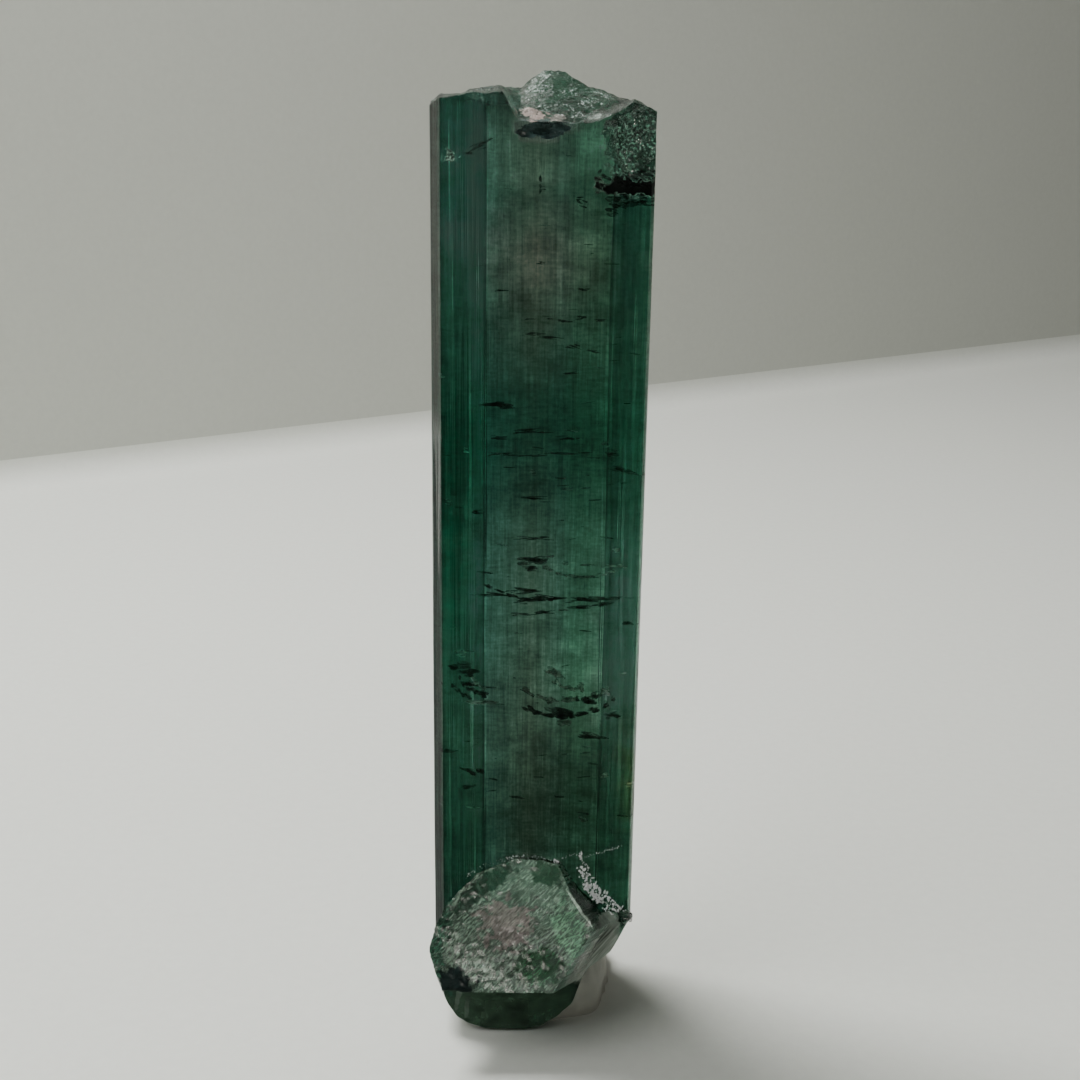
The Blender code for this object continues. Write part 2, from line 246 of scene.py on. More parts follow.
# How thickly level wisps of fluid crowd at each height in millimetres.
WISP_STOPS = ((10.0, "#202020"), (15.0, "#404040"), (17.8, "#A0A0A0"), (20.2, "#A8A8A8"), (21.6, "#404040"),
              (23.6, "#D0D0D0"), (24.6, "#404040"), (27.5, "#303030"), (30.8, "#C0C0C0"), (33.2, "#C8C8C8"),
              (34.2, "#606060"), (36.6, "#D8D8D8"), (38.0, "#505050"), (42.3, "#606060"), (45.0, "#101010"))
# Stains, dust, clearer places, painted shade and painted highlights: (x, y, z), radii, lean in degrees,
# colour, share of the clear crystal that they hide, and how ragged the edge is. The first are on the breaks
# of the top.
TOP_PATCHES = (
    # Painted shade: the dark ledge under the bowl, whose hollow underside mirrors the dark.
    ((-0.08, -0.1, 45.52), (1.70, 1.2, 0.62), 0, "#3A4B4A", 0.88, 0.1),
    ((-0.60, 0.7, 46.16), (0.75, 1.2, 0.24), 8, "#A3938B", 0.75, 1.0),
    ((0.55, 0.7, 46.00), (0.40, 0.9, 0.16), -5, "#8A857E", 0.55, 1.0),
    # A painted highlight on the left slope of the bowl.
    ((-1.50, 0.4, 46.60), (0.16, 0.8, 0.26), 30, "#B8C0B8", 0.40, 0.6),
    ((2.30, 0.5, 46.20), (0.50, 0.8, 0.18), -35, "#A4B0A6", 0.45, 0.6),
)
# Crumbled places full of bright specks, in the same form. The specks are painted highlights, where crumbs
# glint.
PAINTED_GLINT_PATCHES = (
    ((3.55, 0.3, 44.70), (0.95, 1.3, 1.35), 0, "#5F8070", 0.35, 0.9),
    ((4.60, 0.3, 45.60), (0.45, 1.3, 1.10), 0, "#5F8070", 0.35, 0.9),
    ((-4.20, 0.2, 44.35), (0.30, 0.5, 0.30), 0, "#7F9A8C", 0.45, 1.0),
)
# On the side crystal's broken face: a pinkish stain, green windows, a painted highlight on its right ridge,
# and dark corners.
FACE_PATCHES = (
    ((-1.4, -1.5, 7.2), (1.4, 1.6, 1.3), 25, "#A39A94", 0.50, 0.8),
    ((1.75, -1.6, 6.9), (0.80, 1.6, 1.6), -20, "#8DB898", 0.30, 0.5),
    # A painted highlight: a thin pale line along the right ridge.
    ((2.30, -1.1, 7.9), (0.08, 1.2, 1.15), -39, "#D4E4D2", 0.65, 0.3),
    ((0.20, -2.1, 5.2), (1.15, 1.1, 0.80), 0, "#446F50", 0.25, 0.4),
    ((-4.15, -2.3, 4.50), (1.30, 1.4, 0.75), 0, "#12211F", 0.90, 0.6),
    ((-2.5, -0.8, 8.9), (2.2, 1.2, 0.50), -38, "#3B5A47", 0.28, 0.7),
    ((0.6, -0.6, 9.5), (0.9, 1.0, 0.60), 0, "#46664F", 0.28, 0.7),
    ((-4.7, -1.2, 7.2), (0.6, 1.5, 2.6), 8, "#46705A", 0.25, 0.7),
)
# Any faces: black painted shade under the corner chip, the foot in painted shade, its scuffs, and clay on the
# ledge.
SMOOTH_PATCHES = (
    # Painted shade: black under the corner chip, whose underside mirrors the dark.
    ((3.70, 0.2, 43.08), (1.40, 0.9, 0.44), 4, "#050907", 0.98, 0.9),
    # Painted shade: the foot in one dark olive, where it lies under the side crystal's overhang.
    ((-1.3, 2.5, 0.9), (4.6, 7.0, 3.0), 0, "#465E4C", 0.60, 0.2),
    ((-3.90, 0.1, 2.0), (0.14, 0.8, 0.80), 12, "#66766A", 0.25, 1.0),
    ((-3.45, 0.1, 1.5), (0.10, 0.8, 0.70), 6, "#5E6E62", 0.20, 1.0),
    ((3.45, 0.0, 6.70), (1.00, 2.6, 0.50), 10, "#8F998F", 0.65, 0.6),
)
# The silvery flank of the side crystal, lined along the way it was dragged, in the same form. Its pale grey
# is partly a frosted coat and partly a painted reflection of the light that such a flank mirrors.
FLANKS = (
    ((2.95, -1.0, 4.70), (1.00, 2.8, 2.2), 38, "#A6ABA2", 0.70, 0.1),
)
SUGAR_COVER = (0.26, 0.56)
# How far out of the middle of a cloud or a patch its edge begins and ends to fade.
CLOUD_EDGE, PATCH_EDGE = (0.35, 1.25), (0.84, 1.10)
VEIN_AND_GLINT_COVER = 0.7
# Textures of one size all round: the waves to a metre, from how many lie in a millimetre, and the detail.
CRAZED = (2.3 / MM, 4.0)
MOTTLE = (1.7 / MM, 4.0)
LUMPS = (0.9 / MM, 2.0)
FLECKS = (9 / MM, 1.0)
CRINKLED = (6.5 / MM, 2.0)
# Textures that are longer one way: the size of a wave in millimetres along x, y and z, and the detail. Most
# sizes are written as one over how many waves lie in a millimetre.
DRIFT = ((1 / 0.7, 1 / 0.7, 1 / 1.1), 3.0)
TUBES = ((1 / 9, 1 / 3, 1 / 0.7), 1.0)
WISPS = ((1 / 0.9, 1 / 0.9, 1 / 6.5), 3.0)
GROWTH_LINES = ((1 / 9, 1 / 9, 1 / 0.06), 1.0)
# Textures that also lean up to the right by so many degrees.
STREAKS = ((0.30, 0.22, 0.085), 4.0, 45)
GRIT = ((0.09, 0.08, 0.05), 2.0, 45)
FLANK_LINES = ((2.6, 2.2, 0.12), 2.0, 52)
# Light and shade in the crystal, as a texture and the gains that it runs between: two widths of streak up the
# length, clouds of one or two millimetres, fine mottling, and level smears.
SHADES = (
    ((1 / 4.2, 1 / 1.2, 1 / 0.09), 2.0, 0.72, 1.22), ((0.1, 1 / 3, 1 / 0.42), 1.0, 0.72, 1.26),
    ((1 / 0.6, 1 / 0.6, 1.0), 3.0, 0.56, 1.40), ((1 / 6, 1 / 6, 1 / 7.5), 2.0, 0.68, 1.28),
    ((1 / 1.3, 1 / 1.3, 1 / 9), 2.0, 0.82, 1.18),
)
# Most of a noise lies between these two values.
MIDDLE = (0.3, 0.7)
ETCHED_FROM, ETCHED_TO = 1.0 * MM, 3.5 * MM
BREAKS_SPARKLE_FROM, BREAKS_SPARKLE_TO = 20.0 * MM, 22.0 * MM
RELIEF_DEPTH = 0.08 * MM


def ramp_along(tree, value, stops, shift=0.0):
    """The colour ramp of (millimetres, colour) stops, the first and last its two ends, read at a length."""
    low, high = stops[0][0], stops[-1][0]
    share = add(tree, "ShaderNodeMapRange", [value, low * MM - shift, high * MM - shift, 0.0, 1.0])
    ramp = add(tree, "ShaderNodeValToRGB", [share])
    elements = ramp.color_ramp.elements
    for at, code in stops[1:-1]:
        elements.new((at - low) / (high - low))
    for element, (at, code) in zip(elements, stops):
        element.color = linear(code)
    return ramp


def stretched_noise(tree, place, sizes, detail, lean=0):
    """A noise with waves of these sizes in millimetres, the first of them leaning up to the right."""
    turned = add(tree, "ShaderNodeMapping", {
        "Vector": place, "Rotation": (0.0, -math.radians(lean), 0.0), "Scale": Vector(sizes) * MM},
        vector_type="TEXTURE")
    return add(tree, "ShaderNodeTexNoise", [turned, 1.0, detail])


def ellipsoid(tree, place, centre, radii, lean, edge, fray):
    """1 inside a leaning ellipsoid, fading to 0 over its frayed edge."""
    inside = add(tree, "ShaderNodeMapping", {
        "Vector": place, "Location": Vector(centre) * MM - CENTRE, "Rotation": (0.0, math.radians(lean), 0.0),
        "Scale": Vector(radii) * MM}, vector_type="TEXTURE")
    away = add(tree, "ShaderNodeVectorMath", [inside], operation="LENGTH")
    frayed = add(tree, "ShaderNodeMath", [away, fray], operation="ADD")
    return add(tree, "ShaderNodeMapRange", [frayed, *edge, 1.0, 0.0])


def growth_colour(tree, place, x, z, gain):
    """What the clear crystal lets by, in columns across the width, zones up the length, and clouds."""
    columns = ramp_along(tree, x, COLUMN_STOPS, CENTRE.x)
    zones = ramp_along(tree, z, ZONE_STOPS)
    body = add(tree, "ShaderNodeVectorMath", [columns, zones], operation="MULTIPLY")
    drift = add(tree, "ShaderNodeMapRange", [stretched_noise(tree, place, *DRIFT), *MIDDLE, -0.4, 0.4])
    for (across, up), (wide, tall), code in CLOUDS:
        radii = (wide, HEIGHT / MM, tall)
        mask = ellipsoid(tree, place, (across, 0.0, up), radii, 0, CLOUD_EDGE, drift)
        tint = tuple(2.0 * part for part in linear(code)[:3]) + (1.0,)
        body = add(tree, "ShaderNodeMix", [mask, body, tint], data_type="RGBA", blend_type="MULTIPLY")
    return add(tree, "ShaderNodeVectorMath", [body, gain], operation="SCALE")


def growth_light(tree, place, z):
    """Light and shade, pale scratch-like growth tubes up the length, and level wisps of old fluid."""
    light = ZONE_GAIN
    for sizes, detail, low, high in SHADES:
        waves = stretched_noise(tree, place, sizes, detail)
        share = add(tree, "ShaderNodeMapRange", [waves, *MIDDLE, low, high])
        light = add(tree, "ShaderNodeMath", [share, light], operation="MULTIPLY")
    tubes = stretched_noise(tree, place, *TUBES)
    tubes = add(tree, "ShaderNodeMapRange", [tubes, 0.56, 0.72, 1.0, 1.6])
    light = add(tree, "ShaderNodeMath", [light, tubes], operation="MULTIPLY")
    wisps = stretched_noise(tree, place, *WISPS)
    wisps = add(tree, "ShaderNodeMapRange", [wisps, 0.56, 0.70, 0.0, WISP_SHARE])
    crowding = ramp_along(tree, z, WISP_STOPS)
    shade = add(tree, "ShaderNodeMath", [wisps, crowding], operation="MULTIPLY")
    clear = add(tree, "ShaderNodeMath", [1.0, shade], operation="SUBTRACT")
    return add(tree, "ShaderNodeMath", [light, clear], operation="MULTIPLY")


def tourmaline_material():
    material, tree, shader, place = new_material("green elbaite, natural growth faces and breaks")
    x, y, z = add(tree, "ShaderNodeSeparateXYZ", [place]).outputs
    body = growth_colour(tree, place, x, z, growth_light(tree, place, z))

    # Breaks are paler, and the side crystal's broken face is sugary and streaked.
    broken = add(tree, "ShaderNodeAttribute", attribute_name="broken").outputs["Fac"]
    sugar = add(tree, "ShaderNodeAttribute", attribute_name="sugary").outputs["Fac"]
    mottle = add(tree, "ShaderNodeTexNoise", [place, *MOTTLE])
    mottle = add(tree, "ShaderNodeMapRange", [mottle, *MIDDLE, 0.45, 1.5])
    pale = add(tree, "ShaderNodeVectorMath", [BREAK_COLOUR[:3], mottle], operation="SCALE")
    streaks = stretched_noise(tree, place, *STREAKS)
    lumps = add(tree, "ShaderNodeTexNoise", [place, *LUMPS])
    strong = add(tree, "ShaderNodeMapRange", [streaks, 0.32, 0.70, 0.55, 1.6])
    broad = add(tree, "ShaderNodeMapRange", [lumps, *MIDDLE, 0.7, 1.35])
    glaze = add(tree, "ShaderNodeMath", [strong, broad], operation="MULTIPLY")
    sweet = add(tree, "ShaderNodeVectorMath", [SUGAR_COLOUR[:3], glaze], operation="SCALE")
    colour = add(tree, "ShaderNodeMix", [broken, body, pale], data_type="RGBA")
    colour = add(tree, "ShaderNodeMix", [sugar, colour, sweet], data_type="RGBA")

    # White veins lie in the breaks of the top, partly frosted healed cracks and partly painted highlights on
    # ridges; the white specks there and the glints in the sugar are painted highlights. All come only in
    # places.
    crazed = add(tree, "ShaderNodeTexNoise", [place, *CRAZED])
    off_middle = add(tree, "ShaderNodeMath", [crazed, 0.5], operation="SUBTRACT")
    ridge = add(tree, "ShaderNodeMath", [off_middle], operation="ABSOLUTE")
    veins = add(tree, "ShaderNodeMapRange", [ridge, 0.003, 0.016, 0.85, 0.0])
    flecks = add(tree, "ShaderNodeTexNoise", [place, *FLECKS])
    painted_specks = add(tree, "ShaderNodeMapRange", [flecks, 0.62, 0.70, 0.0, 1.0])
    white = add(tree, "ShaderNodeMath", [veins, painted_specks], operation="MAXIMUM")
    above = add(tree, "ShaderNodeMapRange", [z, BREAKS_SPARKLE_FROM, BREAKS_SPARKLE_TO, 0.0, 1.0])
    top_break = add(tree, "ShaderNodeMath", [above, broken], operation="MULTIPLY")
    white = add(tree, "ShaderNodeMath", [white, top_break], operation="MULTIPLY")
    grit = stretched_noise(tree, place, *GRIT)
    painted_glints = add(tree, "ShaderNodeMapRange", [grit, 0.66, 0.71, 0.0, 1.0])
    painted_glints = add(tree, "ShaderNodeMath", [painted_glints, sugar], operation="MULTIPLY")
    veins_and_painted_glints = add(tree, "ShaderNodeMath", [white, painted_glints], operation="MAXIMUM")
    here = add(tree, "ShaderNodeMapRange", [lumps, 0.42, 0.58, 0.0, 1.0])
    veins_and_painted_glints = add(tree, "ShaderNodeMath", [veins_and_painted_glints, here], operation="MULTIPLY")
    # Painted highlights, with some real frosted veins: the pale colour put where breaks and sugar glint.
    colour = add(tree, "ShaderNodeMix", [veins_and_painted_glints, colour, VEIN_AND_GLINT_COLOUR], data_type="RGBA")
    veil = add(tree, "ShaderNodeMapRange", [streaks, 0.40, 0.66, *SUGAR_COVER])
    veil = add(tree, "ShaderNodeMath", [sugar, veil], operation="MULTIPLY")
    hidden_by_veins_and_glints = add(tree, "ShaderNodeMath", [veins_and_painted_glints, VEIN_AND_GLINT_COVER], operation="MULTIPLY")
    hidden = add(tree, "ShaderNodeMath", [hidden_by_veins_and_glints, veil], operation="MAXIMUM")

    # Stains, dust and clearer places, painted shade and painted highlights, and the lined flank of the side
    # crystal, partly a painted reflection.
    fray = add(tree, "ShaderNodeMapRange", [crazed, 0.2, 0.8, -1.0, 1.0])
    lining = stretched_noise(tree, place, *FLANK_LINES)
    lining = add(tree, "ShaderNodeMapRange", [lining, 0.36, 0.60, 0.25, 1.3])
    # Painted highlights: bright specks that lift the colour where crumbs would glint.
    painted_glitter = add(tree, "ShaderNodeMapRange", [flecks, 0.48, 0.68, 0.25, 3.6])
    for patches, texture, where in (
            (TOP_PATCHES, mottle, broken), (PAINTED_GLINT_PATCHES, painted_glitter, 1.0), (FACE_PATCHES, glaze, broken),
            (SMOOTH_PATCHES, mottle, 1.0), (FLANKS, lining, 1.0)):
        for centre, radii, lean, code, cover, ragged in patches:
            edge = add(tree, "ShaderNodeMath", [fray, ragged], operation="MULTIPLY")
            mask = ellipsoid(tree, place, centre, radii, lean, PATCH_EDGE, edge)
            mask = add(tree, "ShaderNodeMath", [mask, where], operation="MULTIPLY")
            tinted = add(tree, "ShaderNodeVectorMath", [linear(code)[:3], texture], operation="SCALE")
            colour = add(tree, "ShaderNodeMix", [mask, colour, tinted], data_type="RGBA")
            veil = add(tree, "ShaderNodeMath", [mask, cover], operation="MULTIPLY")
            hidden = add(tree, "ShaderNodeMath", [hidden, veil], operation="MAXIMUM")

    # Faces turned to the back are etched dull. Growth faces have fine lines, 0.1 mm apart, and breaks a
    # crinkle 0.15 mm across.
    etched = add(tree, "ShaderNodeMapRange", [y, ETCHED_FROM - CENTRE.y, ETCHED_TO - CENTRE.y, 0.06, 0.45])
    worn = add(tree, "ShaderNodeMapRange", [sugar, 0.0, 1.0, 0.11, 0.24])
    lines = stretched_noise(tree, place, *GROWTH_LINES)
    crinkled = add(tree, "ShaderNodeTexNoise", [place, *CRINKLED])
    relief = add(tree, "ShaderNodeMix", [broken, lines, crinkled])
    relief = add(tree, "ShaderNodeMix", [sugar, relief, grit])
    strength = add(tree, "ShaderNodeMapRange", [broken, 0.0, 1.0, 0.075, 1.0])
    strength = add(tree, "ShaderNodeMix", [sugar, strength, 0.34])
    bump = add(tree, "ShaderNodeBump", {"Strength": strength, "Distance": RELIEF_DEPTH, "Height": relief})
    feed(tree, shader, {
        "Base Color": colour, "Normal": bump, "IOR": ELBAITE_IOR,
        "Transmission Weight": add(tree, "ShaderNodeMapRange", [hidden, 0.0, 1.0, CLEAREST, 0.0]),
        "Roughness": add(tree, "ShaderNodeMix", [broken, etched, worn]),
        "Specular IOR Level": add(tree, "ShaderNodeMapRange", [broken, 0.0, 1.0, 0.5, 0.3])})
    depth = add(tree, "ShaderNodeVolumeAbsorption", [ELBAITE_DEPTH_COLOUR, ELBAITE_DENSITY])
    feed(tree, tree.nodes["Material Output"], {"Volume": depth})
    return material


tourmaline = tourmaline_material()
outline = section()
ring = [(k, (k + 1) % len(outline)) for k in range(len(outline))]
start = plain_mesh("prism outline", [corner.to_3d() for corner in outline], ring)
crystal = grown("tourmaline", start, ribbed_prism_tree(), {
    "Around": 620, "Rings": 48, "Low": -SPARE, "High": HEIGHT + SPARE, "Rib pitch": 0.42 * MM,
    "Rib depth": 0.030 * MM, "Line pitch": 0.11 * MM, "Line depth": 0.007 * MM, "Rib run": 14.0 * MM,
    "Back": 4.0 * MM, "Front share": 0.3, "Back share": 2.2, "Material": tourmaline})

# ---- The breaks of the prism ----
# Tourmaline breaks like glass, in shell-shaped hollows with fine ripples and hackle. The top lost its tip and
# a bite of its front edge; the foot broke off its matrix and is worn round; smaller chips are out of corners.

CREST = ((-5.2, 46.40), (-4.73, 46.75), (-3.8, 46.78), (-3.4, 47.00), (-2.2, 47.12), (-1.15, 47.10),
         (-0.6, 47.65), (-0.07, 47.88), (0.85, 47.80), (1.4, 47.50), (1.93, 47.14), (3.1, 46.90),
         (3.9, 46.65), (4.87, 46.20))
CHIP_LIP = ((-1.95, 47.2), (-1.2, 45.85), (1.15, 45.75), (2.1, 45.9), (3.0, 46.2), (3.8, 46.65))
CHIP_REACH = 4.6 * MM
CHIP_CURVE = 1.5
BACK_FALL = 0.28
FOOT = ((-5.3, 3.4), (-4.65, 2.1), (-4.45, 1.5), (-3.95, 0.75), (-3.4, 0.36), (-2.5, 0.08), (-0.5, 0.05),
        (0.4, 0.28), (1.28, 0.88), (2.0, 1.65), (2.3, 2.6), (2.6, 3.5), (3.0, 3.9), (3.95, 4.75),
        (4.6, 6.2), (5.3, 7.4))
REST_CUT = 0.14 * MM
FOOT_FRONT_ROUND, FOOT_FRONT_RISE = 0.9 * MM, 0.30 * MM
FOOT_BACK_START, FOOT_BACK_RISE = 5.2 * MM, 0.75
SWELL_SIZE, SWELL_HEIGHT = 1.5 * MM, 0.16 * MM
HACKLE_SIZE, HACKLE_HEIGHT = 0.42 * MM, 0.07 * MM
CRINKLE_SIZE, CRINKLE_HEIGHT = 0.17 * MM, 0.022 * MM
TOP_STEP, FOOT_STEP = 0.085 * MM, 0.13 * MM
PLAN_MIDDLE = 3.8 * MM
PLAN_BLOCK = (7.0 * MM, 7.5 * MM)
# Smaller chips: name, middle, radii and how finely the ball that cuts each is split.
CHIPS = (("ledge chip", (-0.08, -0.30, 45.50), (1.25, 0.72, 0.40), 5),
         ("corner chip", (4.15, -0.75, 45.10), (1.75, 1.45, 1.95), 6),
         ("left nick", (-5.15, 0.10, 8.20), (0.32, 0.40, 1.50), 4))
CHIP_ROUGH, CHIP_WAVES, CHIP_CRINKLE = 0.22, 1.9, 1.6
GROWTH_FACE, TOP_BREAK, FOOT_BREAK, CHIP_BREAK, SIDE_BREAK = 0.0, 1.0, 2.0, 3.0, 4.0


def along(points, x):
    """The height in metres at x, read off straight runs between points given in millimetres."""
    x /= MM
    if x <= points[0][0]:
        return points[0][1] * MM
    for (x0, z0), (x1, z1) in zip(points, points[1:]):
        if x <= x1:
            return (z0 + (z1 - z0) * (x - x0) / (x1 - x0)) * MM
    return points[-1][1] * MM


def wave(point, size, seed):
    return noise.noise(point / size + Vector((seed, 0.0, 0.0)))


def hackle(point, seed, height):
    place = point / HACKLE_SIZE + Vector((seed, 0.0, 0.0))
    return height * (noise.noise(place) + 0.5 * noise.noise(2.3 * place))


def swell(point, seed):
    return SWELL_HEIGHT * wave(point, SWELL_SIZE, seed)


def crinkle(point, seed):
    """The finest relief of a break: sharp little ridges between dishes."""
    return CRINKLE_HEIGHT * (1.0 - 3.0 * abs(wave(point, CRINKLE_SIZE, seed)))


def crest_at(x, y):
    crest = along(CREST, x)
    lip = crest
    if CHIP_LIP[0][0] * MM < x < CHIP_LIP[-1][0] * MM:
        lip = min(crest, along(CHIP_LIP, x))
    rise = min(max(y / CHIP_REACH, 0.0), 1.0) ** CHIP_CURVE
    fall = BACK_FALL * max(y - CHIP_REACH, 0.0)
    place = Vector((x, y, 0.0))
    rough = swell(place, 3.1) + hackle(place, 7.7, HACKLE_HEIGHT) + crinkle(place, 5.5)
    return lip + (crest - lip) * rise - fall + rough


def foot_at(x, y):
    low = along(FOOT, x)
    front = FOOT_FRONT_RISE * max(1.0 - y / FOOT_FRONT_ROUND, 0.0) ** 2
    back = FOOT_BACK_RISE * max(y - FOOT_BACK_START, 0.0)
    rough = max(low + back, 0.0) / (low + back + REST_CUT) * hackle(Vector((x, y, 0.0)), 1.9, HACKLE_HEIGHT)
    return max(low + front + back + rough - REST_CUT, 0.0)


def mark_faces(mesh, origin):
    """Notes on each face where it comes from; Booleans hand it on to the faces that they cut."""
    mark = mesh.attributes.new("origin", "FLOAT", "FACE")
    mark.data.foreach_set("value", [origin] * len(mesh.polygons))
    return mesh


def mesh_of(name, shape):
    """The mesh of a bmesh, which is thrown away."""
    mesh = bpy.data.meshes.new(name)
    shape.to_mesh(mesh)
    shape.free()
    return mesh


def relief_block(name, frame_of, half, step, surface, far, origin):
    """A closed block whose near side follows surface(u, v) and whose far side is flat, in a local frame."""
    columns, rows = (round(2 * side / step) for side in half)
    points = []
    for j in range(rows + 1):
        v = -half[1] + 2 * half[1] * j / rows
        for i in range(columns + 1):
            u = -half[0] + 2 * half[0] * i / columns
            points.append(Vector((u, v, surface(u, v))))
    wide = columns + 1
    faces = [(j * wide + i, j * wide + i + 1, (j + 1) * wide + i + 1, (j + 1) * wide + i)
             for j in range(rows) for i in range(columns)]
    rim = list(range(columns + 1))
    rim += [j * wide + columns for j in range(1, rows + 1)]
    rim += [rows * wide + i for i in range(columns - 1, -1, -1)]
    rim += [j * wide for j in range(rows - 1, 0, -1)]
    first = len(points)
    points += [Vector((points[k].x, points[k].y, far)) for k in rim]
    for k, corner in enumerate(rim):
        after = (k + 1) % len(rim)
        faces.append((corner, rim[after], first + after, first + k))
    faces.append(tuple(range(first, first + len(rim))))
    shape = bmesh.new()
    shape.from_mesh(plain_mesh(name, [frame_of @ p for p in points], [], faces))
    bmesh.ops.recalc_face_normals(shape, faces=shape.faces)
    return new_object(name, mark_faces(mesh_of(name, shape), origin))


def ball(detail, surface):
    """A finely split ball, each point of which is moved to surface(its direction)."""
    shape = bmesh.new()
    bmesh.ops.create_icosphere(shape, subdivisions=detail, radius=1.0)
    for vert in shape.verts:
        vert.co = surface(vert.co.normalized())
    return shape


def rough_ball(name, centre, radii, detail, seed, origin):
    """A closed lump: an ellipsoid whose surface is pushed in and out by noise."""
    def surface(way):
        size = 1.0 + CHIP_ROUGH * noise.noise(way * CHIP_WAVES + Vector((seed, 0.0, 0.0)))
        place = Vector(way[i] * radii[i] * MM for i in range(3)) * size
        fine = hackle(place, seed, HACKLE_HEIGHT) + CHIP_CRINKLE * crinkle(place, seed)
        return Vector(centre) * MM + place + way * fine

    return new_object(name, mark_faces(mesh_of(name, ball(detail, surface)), origin))


def combine(target, tool, operation="DIFFERENCE"):
    """Cuts target with tool, or joins them. The tool is then thrown away."""
    step = target.modifiers.new(tool.name, "BOOLEAN")
    step.operation = operation
    step.solver = "MANIFOLD"
    step.object = tool
    settle(target)
    bpy.data.objects.remove(tool)


def plan_block(name, step, surface, far, origin):
    level = Matrix.Translation(Vector((0.0, PLAN_MIDDLE, 0.0)))
    return relief_block(name, level, PLAN_BLOCK, step, lambda x, y: surface(x, y + PLAN_MIDDLE), far, origin)


mark_faces(crystal.data, GROWTH_FACE)
combine(crystal, plan_block("top break", TOP_STEP, crest_at, HEIGHT + 2 * SPARE, TOP_BREAK))
combine(crystal, plan_block("foot break", FOOT_STEP, foot_at, -2 * SPARE, FOOT_BREAK))
for seed, (name, centre, radii, detail) in enumerate(CHIPS):
    combine(crystal, rough_ball(name, centre, radii, detail, seed, CHIP_BREAK))

# ---- The side crystal ----
# A second crystal of the same tourmaline, grown into the first at its foot and broken off. It is joined to it
# in one solid. Its own sides are ribbed, and its broken face is sugary, with a hollow in its middle.

SIDE_OUTLINE = ((-5.15, 5.70), (-4.95, 4.98), (-4.55, 4.18), (-3.35, 4.12), (-0.82, 4.10), (0.96, 4.13),
                (1.58, 4.95), (2.20, 6.00), (3.01, 7.00), (2.30, 8.09), (1.72, 8.78), (1.13, 10.00),
                (0.36, 10.17), (-0.92, 10.27), (-1.80, 9.96), (-2.94, 9.54), (-3.82, 8.71), (-4.44, 8.01),
                (-4.93, 7.19), (-5.14, 6.14))
SIDE_TOP, SIDE_TOP_Y = 10.3 * MM, -0.25 * MM
SIDE_LEAN = 0.40
SIDE_MIDDLE = (-1.0 * MM, 6.9 * MM)
SIDE_RUN = Vector((0.45, 0.85, -0.26))
SIDE_LENGTH, SIDE_SPARE = 3.5 * MM, 1.2 * MM
SIDE_RIB_PITCH, SIDE_RIB_DEPTH = 0.24 * MM, 0.028 * MM
RIB_WANDER, RIB_WIDTH = 0.35, 0.3
SIDE_HACKLE, SIDE_STEP = 0.09 * MM, 0.075 * MM
SIDE_BOWL, SIDE_BOWL_RADII = 0.55 * MM, (3.4 * MM, 3.0 * MM)
SIDE_BLOCK, SIDE_BLOCK_FAR = (6.4 * MM, 5.6 * MM), 7.0 * MM
GRAIN_SIZE, GRAIN_HEIGHT = 0.20 * MM, 0.016 * MM
KNOB_MIDDLE, KNOB_RADII = (4.45, 0.2, 6.85), (0.42, 0.42, 0.42)
SMOOTH_UNDER = math.radians(32)


def grooved(outline, pitch, depth):
    """An anticlockwise outline with growth lines cut into each side, uneven in width and depth."""
    points = []
    for i, start in enumerate(outline):
        side = outline[(i + 1) % len(outline)] - start
        way = side.normalized()
        inward = Vector((-way.y, way.x))
        count = round(side.length / pitch)
        points.append(start)
        for k in range(1, count):
            shift = RIB_WANDER * noise.noise(Vector((1.7 * i, 2.9 * k, 0.5)))
            deep = depth * (0.5 + 2.0 * abs(noise.noise(Vector((3.3 * i, 1.3 * k, 9.5)))))
            at = start + side * ((k + shift) / count)
            points.append(at)
            points.append(at + way * (RIB_WIDTH * pitch) + inward * deep)
    return points


def on_broken_face(x, z):
    return Vector((x, SIDE_TOP_Y - SIDE_LEAN * (SIDE_TOP - z), z))


def sugar_grain(u, v):
    """Small rounded grains, each a cell of its own height."""
    gaps, spots = noise.voronoi(Vector((u, v, 0.0)) / GRAIN_SIZE)
    return GRAIN_HEIGHT * (noise.cell(spots[0] * 7.0) + 0.8 - 1.6 * gaps[0])


